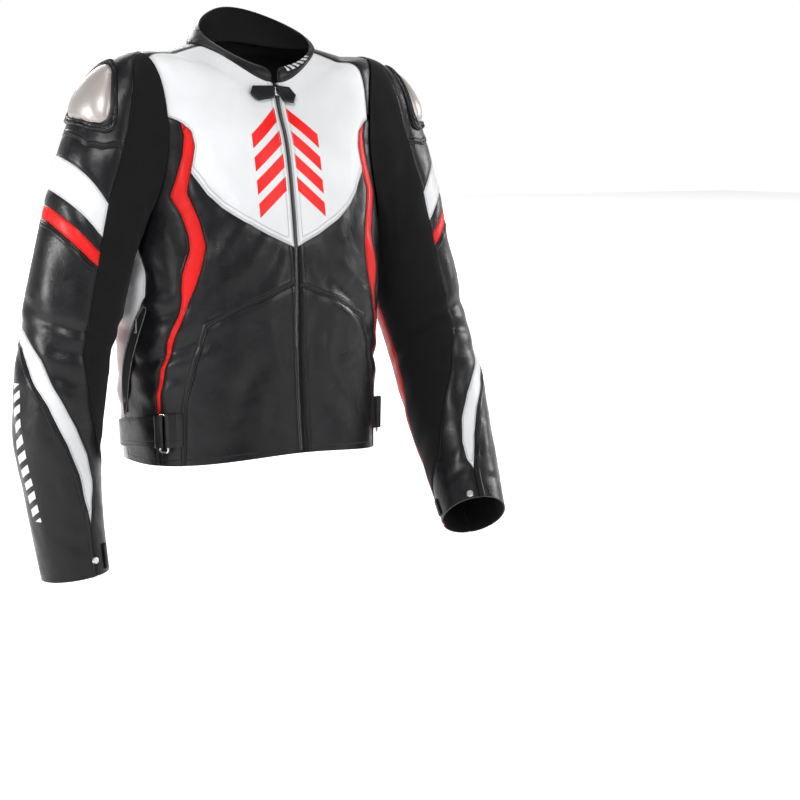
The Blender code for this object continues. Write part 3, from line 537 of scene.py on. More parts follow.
# Lines where a field has a level and every other field is inside, as lists of places and directions
def linesAt(cloth, field, level, others=(), lift=0.0):
    rows, count = cloth.first.shape
    value = (field - level).ravel()
    table = np.concatenate([(cloth.shape + cloth.bent * lift).reshape(-1, 3), cloth.bent.reshape(-1, 3)], -1)
    allowed = np.ones(value.shape, bool)
    for other in others:
        allowed &= other.ravel() > 0.001
    a = np.arange((rows - 1) * count).reshape(rows - 1, count)[:, :-1].ravel()
    lower, upper = (a, a + 1, a + count + 1), (a, a + count + 1, a + count)
    triangles = np.concatenate([np.stack(lower, -1), np.stack(upper, -1)])
    above = value[triangles] > 0
    mixed = triangles[(above.any(1) & ~above.all(1)) & allowed[triangles].all(1)]
    links, spots = {}, {}
    for triangle in mixed:
        ends = []
        for p, q in ((0, 1), (1, 2), (2, 0)):
            low, high = sorted((int(triangle[p]), int(triangle[q])))
            if (value[low] > 0) != (value[high] > 0):
                share = value[low] / (value[low] - value[high])
                spots[low, high] = table[low] + share * (table[high] - table[low])
                ends.append((low, high))
        links.setdefault(ends[0], []).append(ends[1])
        links.setdefault(ends[1], []).append(ends[0])
    lines, used = [], set()
    for start in sorted(links, key=lambda end: len(links[end])):
        if start in used:
            continue
        line, here = [start], start
        used.add(start)
        while True:
            onward = [end for end in links[here] if end not in used]
            if not onward:
                break
            here = onward[0]
            used.add(here)
            line.append(here)
        if len(line) > 3:
            lines.append(np.array([spots[end] for end in line]))
    return lines


# A node with its settings, and its inputs set or joined to other nodes
def addNode(tree, kind, values, settings):
    made = tree.nodes.new(kind)
    for key, value in settings.items():
        setattr(made, key, value)
    for key, value in dict(values).items():
        if isinstance(value, bpy.types.NodeSocket):
            tree.links.new(value, made.inputs[key])
        else:
            made.inputs[key].default_value = value
    return made


# A shader socket's name from a plain one: specular_ior_level is Specular IOR Level
def socketName(key):
    return key.replace("_", " ").title().replace("Ior", "IOR")


# A material's nodes, and numbers in it that can be added and compared
class Look:
    def __init__(self, name, **values):
        self.material = bpy.data.materials.new(name)
        self.material.use_nodes = True
        self.tree = self.material.node_tree
        self.shader = self.tree.nodes["Principled BSDF"]
        for key, value in values.items():
            self.shader.inputs[socketName(key)].default_value = value

    def node(self, kind, values=(), **settings):
        return addNode(self.tree, kind, values, settings)

    def number(self, socket):
        return Number(self, socket)

    def noise(self, place, scale, detail=3.0, roughness=0.5, distortion=0.0):
        values = {"Vector": place, "Scale": scale, "Detail": detail, "Roughness": roughness,
                  "Distortion": distortion}
        return self.number(self.node("ShaderNodeTexNoise", values).outputs["Fac"])

    def mix(self, share, first, second):
        made = self.node("ShaderNodeMix", data_type="RGBA")
        for key, value in (("Factor_Float", share), ("A_Color", first), ("B_Color", second)):
            target = next(s for s in made.inputs if s.identifier == key)
            if isinstance(value, Number):
                self.tree.links.new(value.socket, target)
            elif isinstance(value, bpy.types.NodeSocket):
                self.tree.links.new(value, target)
            else:
                target.default_value = (*value, 1) if len(value) == 3 else value
        return next(s for s in made.outputs if s.identifier == "Result_Color")

    def bump(self, height, depth, strength=1.0, under=None):
        values = {"Height": height.socket, "Distance": depth, "Strength": strength}
        if under is not None:
            values["Normal"] = under
        return self.node("ShaderNodeBump", values).outputs["Normal"]

    def put(self, **sockets):
        for key, socket in sockets.items():
            socket = socket.socket if isinstance(socket, Number) else socket
            self.tree.links.new(socket, self.shader.inputs[socketName(key)])
        return self.material


class Number:
    def __init__(self, look, socket):
        self.look, self.socket = look, socket

    def maths(self, operation, *others, clamp=False):
        made = self.look.node("ShaderNodeMath", operation=operation, use_clamp=clamp)
        self.look.tree.links.new(self.socket, made.inputs[0])
        for k, other in enumerate(others):
            if isinstance(other, Number):
                self.look.tree.links.new(other.socket, made.inputs[k + 1])
            else:
                made.inputs[k + 1].default_value = other
        return Number(self.look, made.outputs[0])

    def __add__(self, other):
        return self.maths("ADD", other)

    def __sub__(self, other):
        return self.maths("SUBTRACT", other)

    def __mul__(self, other):
        return self.maths("MULTIPLY", other)

    def __truediv__(self, other):
        return self.maths("DIVIDE", other)

    def above(self, other):
        return self.maths("GREATER_THAN", other)

    def below(self, other):
        return self.maths("LESS_THAN", other)

    def within(self, low, high, start=0.0, end=1.0):
        made = self.look.node("ShaderNodeMapRange", clamp=True)
        self.look.tree.links.new(self.socket, made.inputs["Value"])
        for key, value in (("From Min", low), ("From Max", high), ("To Min", start), ("To Max", end)):
            made.inputs[key].default_value = value
        return Number(self.look, made.outputs["Result"])


# Colours of the leathers, and of the pale bars printed on the black one
black, white, red = (0.0050, 0.0052, 0.0062), (0.60, 0.605, 0.62), (0.60, 0.004, 0.003)
printed = (0.50, 0.50, 0.51)
# The chest's bars: lean, lowest and highest place, pitch, and reach across from the zip
chestRow = {"lean": 0.85, "low": -0.182, "high": -0.064, "pitch": 0.030, "near": 0.0085, "far": 0.050}
# Rows of bars on the forearms and the collar: first and last place, half width and pitch
forearmRow = {"start": 0.345, "end": 0.512, "half": 0.0105, "pitch": 0.017}
collarRow = {"start": 0.019, "end": 0.062, "half": 0.0065, "pitch": 0.0085}


# 1 on a row of stitches, which lies a distance from the seam
def trough(distance, place):
    return (distance - place).maths("ABSOLUTE").within(0.0, 0.0007, 1.0, 0.0)


# Where a spot lies on its own cloth, across and along, in metres
def layOf(look):
    lay = look.node("ShaderNodeUVMap", uv_map="cloth").outputs["UV"]
    parts = look.node("ShaderNodeSeparateXYZ", {"Vector": lay})
    return look.number(parts.outputs["X"]), look.number(parts.outputs["Y"])


# Grained leather: pebbles between fine creases, soft wear and a thin gloss, with painted shade in its seam
# gaps and rows of stitches
def leather(name, colour, rough, pattern=None):
    look = Look(name, specular_ior_level=0.22, coat_weight=0.07, coat_roughness=0.22)
    place = look.node("ShaderNodeTexCoord").outputs["Object"]
    drift = look.noise(place, 9.0, 2.0)
    cells = look.node("ShaderNodeTexVoronoi", {"Vector": place, "Scale": 620.0}, feature="DISTANCE_TO_EDGE")
    pebbles = look.number(cells.outputs["Distance"]).within(0.0, 0.16)
    pores = look.noise(place, 1500.0, 2.0, 0.6)
    wrinkles = look.noise(place, 46.0, 4.0, 0.6, 0.7)
    grain = look.bump(pebbles, 0.00006, 0.55)
    grain = look.bump(pores, 0.00004, 0.5, grain)
    normal = look.bump(wrinkles, 0.0012, 0.6, grain)
    normal = look.bump(look.noise(place, 13.0, 2.0, 0.4, 0.8), 0.008, 0.5, normal)
    _, hem = layOf(look)
    seam, double = (look.number(look.node("ShaderNodeAttribute", attribute_name=key).outputs["Fac"])
                    for key in ("seam", "double"))
    rolled = seam.within(0.0, 0.0014)
    rows = trough(seam, sew["edge"]) + trough(double, sew["second"]) + trough(hem, hemStitch)
    rib = double.within(0.0028, 0.0042) * double.within(0.0066, 0.0080, 1.0, 0.0)
    normal = look.bump(rolled - rows * 0.45 + rib * 0.8, 0.0011, 1.0, normal)
    dark = tuple(c * 0.82 for c in colour)
    base = look.mix(drift.within(0.3, 0.7), dark, colour)
    # Painted shade: the colour darkens in the seam gaps and in the troughs of the rows of stitches, the
    # hem's row too
    shade = seam.within(0.0002, 0.0009, 0.75, 0.0) + rows * 0.22
    base = look.mix(shade, base, tuple(c * 0.12 for c in colour))
    if pattern:
        base = pattern(look, place, base)
    worn = wrinkles.within(0.35, 0.75, rough - 0.07, rough + 0.09) + pebbles.within(0, 1, 0.05, 0.0)
    return look.put(base_color=base, roughness=worn, normal=normal)


# Plain slanted bars on both sides of the zip
def chestBars(look, place, base):
    parts = look.node("ShaderNodeSeparateXYZ", {"Vector": place})
    across = look.number(parts.outputs["X"]).maths("ABSOLUTE")
    up = look.number(parts.outputs["Z"])
    slant = up + across * chestRow["lean"]
    bar = ((slant - chestRow["low"]) / chestRow["pitch"]).maths("FRACT")
    shown = bar.below(0.62) * slant.above(chestRow["low"]) * slant.below(chestRow["high"])
    shown = shown * across.below(chestRow["far"]) * across.above(chestRow["near"])
    return look.mix(shown, base, red)


# Plain slanted bars in a row along a piece
def barRow(look, base, along, across, start, end, half, pitch):
    shown = ((along + across * 0.4) / pitch).maths("FRACT").below(0.56)
    shown = shown * along.above(start) * along.below(end) * across.maths("ABSOLUTE").below(half)
    return look.mix(shown, base, printed)


def forearmBars(look, place, base):
    across, down = layOf(look)
    return barRow(look, base, down, across - (down - 0.36) * 0.12, **forearmRow)


def collarBars(look, place, base):
    across, up = layOf(look)
    forward = look.number(look.node("ShaderNodeSeparateXYZ", {"Vector": place}).outputs["Y"])
    marked = barRow(look, base, across, up - 0.0235, **collarRow)
    return look.mix(forward.below(0.0), base, marked)


# Matte stretch cloth, knitted in fine columns
def knitted(name, colour, rough):
    look = Look(name, specular_ior_level=0.15, sheen_weight=0.05, sheen_roughness=0.45)
    across, along = layOf(look)
    weave = (across * 2400.0).maths("SINE") * (along * 3000.0).maths("SINE")
    place = look.node("ShaderNodeTexCoord").outputs["Object"]
    drift = look.noise(place, 30.0, 3.0)
    normal = look.bump(weave, 0.00012, 0.4, look.bump(drift, 0.002, 0.35))
    base = look.mix(drift.within(0.3, 0.7), tuple(c * 0.7 for c in colour), colour)
    worn = weave.within(-1, 1, rough + 0.05, rough - 0.05)
    return look.put(base_color=base, roughness=worn, normal=normal)


# Brushed satin over the hard plates, and plain metal for rings, snaps and pulls
def satin(name, colour, rough, metallic, brushed):
    look = Look(name, metallic=metallic, coat_weight=0.3, coat_roughness=0.2)
    place = look.node("ShaderNodeTexCoord").outputs["Object"]
    squeezed = look.node("ShaderNodeMapping", {"Vector": place, "Scale": (1.0, 1.0, 0.06)}).outputs[0]
    lines = look.noise(squeezed, brushed, 2.0, 0.6)
    drift = look.noise(place, 22.0, 3.0)
    base = look.mix(drift.within(0.3, 0.7), tuple(c * 0.85 for c in colour), colour)
    worn = lines.within(0.3, 0.7, rough - 0.06, rough + 0.08)
    return look.put(base_color=base, roughness=worn, normal=look.bump(lines, 0.00005, 0.4))


looks = {
    "leather": leather("black_leather", black, 0.34),
    "white": leather("white_leather", white, 0.44),
    "chest": leather("chest_leather", white, 0.44, chestBars),
    "forearm": leather("forearm_leather", black, 0.34, forearmBars),
    "collar": leather("collar_leather", black, 0.34, collarBars),
    "red": leather("red_leather", red, 0.48),
    "textile": knitted("stretch_knit", (0.0045, 0.0045, 0.005), 0.9),
    "lining": knitted("lining_mesh", (0.006, 0.006, 0.007), 0.85),
    "satin": satin("plate_satin", (0.36, 0.325, 0.305), 0.38, 0.45, 900.0),
    "metal": satin("trim_metal", (0.60, 0.60, 0.62), 0.26, 1.0, 1400.0),
    "teeth": satin("zip_metal", (0.10, 0.10, 0.105), 0.32, 0.9, 1400.0),
    "thread": knitted("black_thread", (0.030, 0.030, 0.032), 0.6),
    "pale_thread": knitted("white_thread", (0.62, 0.62, 0.64), 0.6),
    "red_thread": knitted("red_thread", (0.50, 0.02, 0.016), 0.6),
}
print("materials made")


def bodyDepth(cloth):
    depth = foldDepth(bodyFolds, cloth.first, cloth.height, degreeRun["body"], 1.0)
    calm = np.clip((np.abs(cloth.first) - 3) / 8, 0, 1) * np.clip((-0.06 - cloth.height) / 0.05, 0, 1)
    calm = calm * np.clip((cloth.height + 0.56) / 0.06, 0.25, 1)
    return depth * calm


def sleeveDepth(cloth):
    depth = foldDepth(sleeveFolds, cloth.first, cloth.second, degreeRun["sleeve"], rowRun)
    calm = np.clip(cloth.second / 0.5, 0, 1) * np.clip((cuffRow - cloth.second) / 0.5, 0.15, 1)
    plate = plateShare(cloth.first, cloth.second)
    return 0.4 * depth * calm * np.clip((plate - 1.2) / 0.3, 0, 1)


# How far out a spot lies from the shoulder plate's middle, 1 being its edge
def plateShare(angle, row):
    turn = np.radians(np.arange(-180, 180, 4))
    low, high = plateOutline[0][0], plateOutline[-1][0]
    edgeRow = (low + high) / 2 + (high - low) / 2 * np.sin(turn)
    across = np.sign(np.cos(turn)) * smooth(plateOutline, edgeRow)
    along = (edgeRow - plateSizes["row"]) * plateSizes["row_degrees"]
    bearing = np.arctan2(along, across)
    order = np.argsort(bearing)
    here = angle - plateSizes["middle"], (row - plateSizes["row"]) * plateSizes["row_degrees"]
    reach = np.hypot(across, along)
    edge = np.interp(np.arctan2(here[1], here[0]), bearing[order], reach[order], period=2 * np.pi)
    return np.hypot(*here) / edge


stitchRows = {"black": [], "pale": [], "red": []}
threads = {"leather": "black", "forearm": "black", "textile": "black", "white": "pale", "chest": "pale",
           "red": "red"}
teethLines = []


# One panel with its rows of stitches: seams are the fields sewn down, double those with two rows
def panel(name, cloth, fields, look, sewnSeams=(), doubleSeams=(), thick=leatherThick, modelled=True):
    height = np.zeros_like(cloth.first)
    for k in doubleSeams:
        inner, outer = sew["edge"] + 0.001, sew["second"] - 0.001
        middle, half = (inner + outer) / 2, (outer - inner) / 2
        height = height + sew["rib"] * np.exp(-(((fields[k] - middle) / (half * 1.1)) ** 4))
    corners, faces = cutOut(cloth, fields, height)
    sides = looks[look], looks["lining"]
    piece = sewn(name, corners, faces, thick, sides, seams=sewnSeams, doubles=doubleSeams)
    if modelled:
        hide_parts(name)
    for k in tuple(sewnSeams) + tuple(doubleSeams):
        offsets = [sew["edge"]] + ([sew["second"]] if k in doubleSeams else [])
        for offset in offsets:
            others = [field - offset for j, field in enumerate(fields) if j != k]
            stitchRows[threads[look]] += linesAt(cloth, fields[k], offset, others, 0.0001)


def bodyPieces(cloth):
    away, height = np.abs(cloth.first), cloth.height
    holeAngle = (away - armhole["angle"]) / armhole["half_angle"]
    holeRing = (cloth.second - armhole["ring"]) / armhole["half_rings"]
    outsideHole = cloth.distance(np.hypot(holeAngle, holeRing) - 1) + underLap
    tables = {"inner": stripeInner, "outer": stripeOuter, "side": sideBack, "back": backEdge,
              "slant": slantSide}
    by = {name: cloth.distance(away - straight(table, height)) for name, table in tables.items()}
    aboveChest = cloth.distance(height - straight(chestEdge, away))
    aboveSlant = cloth.distance(height - straight(slantTop, away))
    upper = np.maximum(aboveSlant, by["slant"])
    aboveStripe = cloth.distance(height - stripeEnd)
    aboveYoke = cloth.distance(height - yokeBack)
    belowShoulder = cloth.distance(sideTop - height)
    for side, sign in signs.items():
        half = sign * cloth.points[..., 0]
        yoke = cloth.distance(away - yokeEdge[side])
        front = [half - zipHalf, -by["inner"]]
        panel(f"chest_{side}", cloth, front + [aboveChest, outsideHole, -yoke], "chest", (1, 4), (0, 2))
        panel(f"waist_front_{side}", cloth, front + [-aboveChest, upper], "leather", (1,), (0, 3))
        panel(f"hem_front_{side}", cloth, front + [-upper], "leather", (1,), (0,))
        edges = [half, by["inner"], -by["outer"], aboveStripe, outsideHole]
        panel(f"side_stripe_{side}", cloth, edges, "red", (1, 2))
        edges = [half, by["inner"], -by["outer"], -aboveStripe]
        panel(f"hem_join_{side}", cloth, edges, "leather", (1, 2), modelled=False)
        edges = [half, by["outer"], -by["side"], belowShoulder, outsideHole]
        panel(f"side_panel_{side}", cloth, edges, "leather", (1, 2))
        edges = [half, by["side"], -by["back"], -aboveYoke, outsideHole]
        panel(f"back_side_{side}", cloth, edges, "white", (1, 2))
    behind = cloth.distance(away - np.where(cloth.first < 0, yokeEdge["right"], yokeEdge["left"]))
    yokeFoot = cloth.distance(height - np.where(away < 90, sideTop, yokeBack))
    panel("back_yoke", cloth, [behind, yokeFoot, outsideHole], "leather", (0, 1, 2))
    edges = [by["back"], -aboveYoke, outsideHole, cloth.distance(away - backStart)]
    panel("back_panel", cloth, edges, "leather", (0,), (1,))


def sleevePieces(side, cloth):
    angle, row = cloth.first, cloth.second

    def before(table):
        return cloth.distance(straight(table, row) - angle)

    textile, gusset, high, low = (before(t) for t in (textileEdge, gussetEdge, stripeHigh, stripeLow))
    rear, under = cloth.distance(angle - rearSeam), cloth.distance(underSeam - angle)
    pastCap = cloth.distance(row - straight(capEdge, angle))
    past = {name: cloth.distance(row - np.interp(angle, bandAngles, line)) for name, line in bands.items()}
    outer, forearm = [rear, textile], [rear, textile, gusset]
    panel(f"stretch_panel_{side}", cloth, [-textile, gusset, under], "textile", (), (), textileThick)
    panel(f"shoulder_cap_{side}", cloth, outer + [-pastCap], "leather", (0, 1), (2,))
    edges = outer + [pastCap, -past["upper_sleeve"]]
    panel(f"upper_sleeve_{side}", cloth, edges, "leather", (0, 1, 3))
    edges = outer + [past["upper_sleeve"], -past["white_band"]]
    panel(f"white_band_{side}", cloth, edges, "white", (1, 2, 3))
    edges = outer + [past["white_band"], -past["band_gap"]]
    panel(f"band_gap_{side}", cloth, edges, "leather", (1,))
    edges = outer + [past["band_gap"], -past["red_band"]]
    panel(f"red_band_{side}", cloth, edges, "red", (1, 2, 3))
    panel(f"elbow_panel_{side}", cloth, forearm + [past["red_band"], -high], "leather", (1, 2, 4), (3,))
    panel(f"forearm_stripe_{side}", cloth, forearm + [high, -low], "white", (3, 4))
    panel(f"forearm_panel_{side}", cloth, forearm + [low], "forearm", (2,), (3,))
    panel(f"sleeve_gusset_{side}", cloth, [-gusset, under], "red", (0,))
    panel(f"under_sleeve_{side}", cloth, [np.maximum(-under, -rear)], "leather", (0,))
    platePieces(side)


# The hard plate, domed and rolled over at its edge, and the two ridges of its rim
def platePieces(side):
    angles, rows = np.arange(-58, 72, 1.2), np.linspace(0.3, 1.65, 110)
    cloth = Cloth(sleeveOf(side), angles, rows, signs[side], unfolded, degreeRun["sleeve"])
    share = plateShare(cloth.first, cloth.second)
    height = plateSizes["rise"] * (1 - np.clip(share, 0, 1) ** 3) + 0.0012
    corners, faces = cutOut(cloth, [cloth.distance(1 - share)], height)
    near = corners[:, columns["seams"]]
    corners[:, columns["height"]] -= 0.0016 * np.exp(-((near / 0.0022) ** 2))
    plate = sewn(f"shoulder_plate_{side}", corners, faces, plateSizes["thick"], (looks["satin"],),
                 plateSizes["thick"], dip=False)
    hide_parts(f"shoulder_plate_{side}")
    start, end = plateSizes["rim_start"], plateSizes["rim_end"]
    ridges = np.abs(np.sin(np.pi * np.clip((share - start) / (end - start), 0, 1) * 2)) ** 0.7
    around = [cloth.distance(share - start), cloth.distance(end - share)]
    corners, faces = cutOut(cloth, around, 0.0018 + 0.0026 * ridges)
    edge = np.clip(corners[:, columns["seams"]:].min(axis=1), 0, None)
    corners[:, columns["height"]] -= 0.0012 * np.exp(-((edge / 0.0012) ** 2))
    rim = sewn(f"shoulder_rim_{side}", corners, faces, 0.0016, (looks["leather"],), 0.0004, dip=False)
    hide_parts(f"shoulder_rim_{side}")


# A small piece laid over a surface between two limits each way, with softened edges
def patch(name, surface, firsts, seconds, steps, facing, thick, lift, look, stitches=None, outline=None,
          rise=None):
    grid = np.linspace(*firsts, steps[0]), np.linspace(*seconds, steps[1])
    cloth = Cloth(surface, *grid, facing, unfolded, degreeRun["patch"])
    if outline:
        sides = outline(cloth)
    else:
        sides = [cloth.distance(cloth.first - firsts[0]), cloth.distance(firsts[1] - cloth.first),
                 cloth.distance(cloth.second - min(seconds)), cloth.distance(max(seconds) - cloth.second)]
    corners, faces = cutOut(cloth, sides, rise(cloth) if rise else None, -0.00001)
    near = np.clip(corners[:, columns["seams"]:].min(axis=1), 0, None)
    corners[:, columns["height"]] -= 0.0005 * np.exp(-((near / 0.0009) ** 2))
    piece = sewn(name, corners, faces, thick - 0.0005, (looks[look], looks["lining"]), lift, dip=False)
    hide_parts(name)
    if stitches:
        closest = np.min(sides, axis=0)
        stitchRows[stitches[0]] += linesAt(cloth, closest, stitches[1], (), lift)


def beltPieces(side):
    sign = signs[side]
    low, high = beltSizes["row_low"], beltSizes["row_high"]

    def waist(angle, share):
        lean = np.maximum(angle - beltSizes["front"], 0) / (beltSizes["back"] - beltSizes["front"])
        return body(sign * angle, low + (high - low) * share - beltSizes["drop"] * lean)

    # Both ends are folded over a bar of the ring
    def fold(cloth):
        beside = np.abs(cloth.first - ringFold["angle"])
        near = np.clip((ringFold["reach"] - beside) / ringFold["slope"], 0, 1)
        return ringFold["rise"] * near**2 * (3 - 2 * near)

    lift = strapGap + strap
    ends = beltSizes["front"], beltSizes["back"]
    patch(f"belt_strap_{side}", waist, ends, (0, 1), (90, 18), sign, strap, lift, "leather",
          ("black", 0.003), rise=fold)
    ends = anchorAngles["front"], anchorAngles["back"]
    patch(f"belt_anchor_{side}", waist, ends, (0, 1), (24, 18), sign, strap, lift, "leather",
          ("black", 0.003), rise=fold)


# Ring number where the body's surface has a height, below the armholes
def ringAt(angle, height):
    rings = np.linspace(0, 4, 81)
    found = [np.interp(z, body(np.full_like(rings, a), rings)[:, 2], rings)
             for a, z in zip(np.ravel(angle), np.ravel(height))]
    return np.reshape(found, np.shape(angle))


# The pocket's tape, and the line down its middle where the teeth go
def pocketPieces(side):
    sign = signs[side]

    def opening(offset, height):
        angle = smooth(pocketSizes["path"], height) + offset
        return body(sign * angle, ringAt(angle, height))

    half = pocketSizes["half_degrees"]
    ends = pocketSizes["path"][-1][0], pocketSizes["path"][0][0]
    lift = restGap + textileThick

    # The dark tape widens towards the front into a long crescent
    def crescent(cloth):
        share = (cloth.second - ends[0]) / (ends[1] - ends[0])
        reach = half + pocketSizes["spread"] * np.clip(4 * share * (1 - share), 0, 1) ** 0.6
        return [cloth.distance(cloth.first + reach), cloth.distance(half - cloth.first),
                cloth.distance(cloth.second - ends[0]), cloth.distance(ends[1] - cloth.second)]

    patch(f"pocket_zip_{side}", opening, (-half - 7, half), ends, (12, 40), sign, textileThick, lift,
          "textile", ("pale", 0.0016), crescent)
    heights = np.linspace(*ends, 60)
    middle = np.zeros_like(heights)
    out = normalsOf(opening, middle, heights, sign)
    teethLines.append(np.concatenate([opening(middle, heights) + out * (lift - 0.0003), out], -1))


def collarPiece():
    angles = np.concatenate([np.arange(-180, -24, 3.0), np.arange(-24, 24, 0.8), np.arange(24, 181, 3.0)])
    cloth = Cloth(collar, angles, np.linspace(-0.08, 1.0, 30), 1, unfolded, degreeRun["collar"])
    besideGap = np.abs(cloth.points[..., 0]) - collarGap
    top = cloth.distance(1.0 - cloth.second)
    short = np.maximum(collarCorner - besideGap, 0), np.maximum(collarCorner - top, 0)
    corner = collarCorner - np.hypot(*short)
    edge = np.where(np.abs(cloth.first) < 40, np.minimum(besideGap, corner), 1.0)
    foot = cloth.distance(cloth.second)
    roll = 0.0012 * np.exp(-((np.minimum(top, edge) / 0.003) ** 2)) + 0.0006 * np.exp(-((foot / 0.003) ** 2))
    corners, faces = cutOut(cloth, [edge], -roll)
    sides = looks["collar"], looks["lining"]
    piece = sewn("collar", corners, faces, collarThick - 0.0008, sides, dip=False)
    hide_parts("collar")
    for level in (0.0045, 0.0075):
        stitchRows["black"] += linesAt(cloth, np.minimum(top, edge), level, (foot,), 0.0)


def closurePieces():
    def taped(cloth):
        return [zipHalf - seamGap - sign * cloth.points[..., 0] for sign in signs.values()]

    upper = lastRing - zipTop
    patch("front_zip", body, (-3.2, 3.2), (0, upper), (9, 160), 1, leatherThick, -zipSunk, "textile",
          None, taped)
    rings = np.linspace(0.12, upper - 0.05, 200)
    middle = np.zeros_like(rings)
    out = normalsOf(body, middle, rings, 1)
    teethLines.append(np.concatenate([body(middle, rings) + out * (0.0002 - zipSunk), out], -1))
    for name, outline, lift in (("collar_tab_right", tabRight, tabSizes["low"]),
                                ("collar_tab_left", tabLeft, tabSizes["high"])):
        def sides(cloth, outline=outline):
            x, z = cloth.points[..., 0], cloth.points[..., 2]
            return [((x1 - x0) * (z - z0) - (z1 - z0) * (x - x0)) / math.hypot(x1 - x0, z1 - z0)
                    for (x0, z0), (x1, z1) in zip(outline, outline[1:] + outline[:1])]
        patch(name, body, (-44, 34), (6.2, lastRing - 0.02), (90, 60), 1, tabSizes["thick"], lift,
              "leather", ("black", 0.0022), sides)


def cuffPieces(side):
    surface = sleeveOf(side)
    angle, start, end = cuffTab[side]
    half = cuffTab["half_degrees"]
    patch(f"cuff_tab_{side}", surface, (angle - half, angle + half), (start, end), (9, 22), signs[side],
          strap, trimGap + strap, "leather", ("black", 0.002))


# A tree that sets a small mesh along lines, one every step, turned to the line and the cloth
def repeatTree(name, unitPiece, look):
    tree = bpy.data.node_groups.new(name, "GeometryNodeTree")
    tree.interface.new_socket("Lines", in_out="INPUT", socket_type="NodeSocketGeometry")
    step = tree.interface.new_socket("Step", in_out="INPUT", socket_type="NodeSocketFloat")
    step.default_value = sew["step"]
    tree.interface.new_socket("Repeats", in_out="OUTPUT", socket_type="NodeSocketGeometry")

    def node(kind, values=(), **settings):
        return addNode(tree, kind, values, settings)

    given = node("NodeGroupInput")
    curve = node("GeometryNodeMeshToCurve", {"Mesh": given.outputs["Lines"]})
    spaced = node("GeometryNodeResampleCurve",
                  {"Curve": curve.outputs["Curve"], "Length": given.outputs["Step"]}, mode="LENGTH")
    tangent = node("GeometryNodeInputTangent").outputs["Tangent"]
    out = node("GeometryNodeInputNamedAttribute", {"Name": "out"}, data_type="FLOAT_VECTOR")
    turned = node("FunctionNodeAlignRotationToVector", {"Vector": tangent}, axis="X")
    upright = node("FunctionNodeAlignRotationToVector",
                   {"Rotation": turned.outputs["Rotation"], "Vector": out.outputs["Attribute"]},
                   axis="Z", pivot_axis="X")
    single = node("GeometryNodeObjectInfo", {"Object": unitPiece})
    placedOnes = node("GeometryNodeInstanceOnPoints",
                      {"Points": spaced.outputs["Curve"], "Instance": single.outputs["Geometry"],
                       "Rotation": upright.outputs["Rotation"]})
    real = node("GeometryNodeRealizeInstances", {"Geometry": placedOnes.outputs["Instances"]})
    coloured = node("GeometryNodeSetMaterial", {"Geometry": real.outputs["Geometry"], "Material": look})
    node("NodeGroupOutput", {"Repeats": coloured.outputs["Geometry"]})
    return tree


def repeated(name, lines, unitPiece, step, look):
    points = np.concatenate(lines)
    edges, start = [], 0
    for line in lines:
        edges += [(start + k, start + k + 1) for k in range(len(line) - 1)]
        start += len(line)
    mesh = bpy.data.meshes.new(name)
    mesh.from_pydata(points[:, :3].tolist(), edges, [])
    out = mesh.attributes.new("out", "FLOAT_VECTOR", "POINT")
    out.data.foreach_set("vector", points[:, 3:].astype(np.float32).ravel())
    drawn = bpy.data.objects.new(name + "_lines", mesh)
    bpy.context.scene.collection.objects.link(drawn)
    modifier = drawn.modifiers.new("repeats", "NODES")
    modifier.node_group = repeatTree(name, unitPiece, look)
    socket = next(i for i in modifier.node_group.interface.items_tree if i.name == "Step")
    modifier[socket.identifier] = step
    graph = bpy.context.evaluated_depsgraph_get()
    made = bpy.data.meshes.new_from_object(drawn.evaluated_get(graph))
    bpy.data.objects.remove(drawn)
    piece = bpy.data.objects.new(name, made)
    bpy.context.scene.collection.objects.link(piece)
    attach(piece, "jacket")
    return piece


# One stitch, a spindle of thread a little sunk at both ends
def stitchUnit():
    length, radius = sew["length"] / 2, sew["radius"]
    rings = [(-length * 0.55, radius, 0.0), (length * 0.55, radius, 0.0)]
    points = [(-length, 0, -radius)]
    for x, size, z in rings:
        points += [(x, size * y, z + size * up) for y, up in ((1, 0), (0, 1), (-1, 0), (0, -1))]
    points.append((length, 0, -radius))
    faces = [(0, 1 + (k + 1) % 4, 1 + k) for k in range(4)]
    faces += [(1 + k, 1 + (k + 1) % 4, 5 + (k + 1) % 4, 5 + k) for k in range(4)]
    faces += [(9, 5 + k, 5 + (k + 1) % 4) for k in range(4)]
    return unitObject("stitch", points, faces)


# A pair of zip teeth, one from each side
def toothUnit():
    points, faces = [], []
    for side in (-1, 1):
        x = side * toothSizes["shift"]
        low, high = sorted((side * toothSizes["reach"], -side * toothSizes["past"]))
        base = len(points)
        points += [(x + i * toothSizes["half"], y, z) for i in (-1, 1) for y in (low, high)
                   for z in (0, toothSizes["height"])]
        quads = ((0, 1, 3, 2), (4, 6, 7, 5), (0, 4, 5, 1), (2, 3, 7, 6), (1, 5, 7, 3), (0, 2, 6, 4))
        faces += [tuple(base + q for q in quad) for quad in quads]
    return unitObject("tooth", points, faces)


def unitObject(name, points, faces):
    mesh = bpy.data.meshes.new(name)
    mesh.from_pydata(points, [], faces)
    mesh.shade_smooth()
    return bpy.data.objects.new(name, mesh)


# Lights, floor and the camera at the photograph's angle
def area(name, place, aim, power, size):
    data = bpy.data.lights.new(name, "AREA")
    data.energy, data.size = power, size
    lamp = bpy.data.objects.new(name, data)
    lamp.location = place
    lamp.rotation_euler = (Vector(aim) - Vector(place)).to_track_quat("-Z", "Y").to_euler()
    bpy.context.scene.collection.objects.link(lamp)


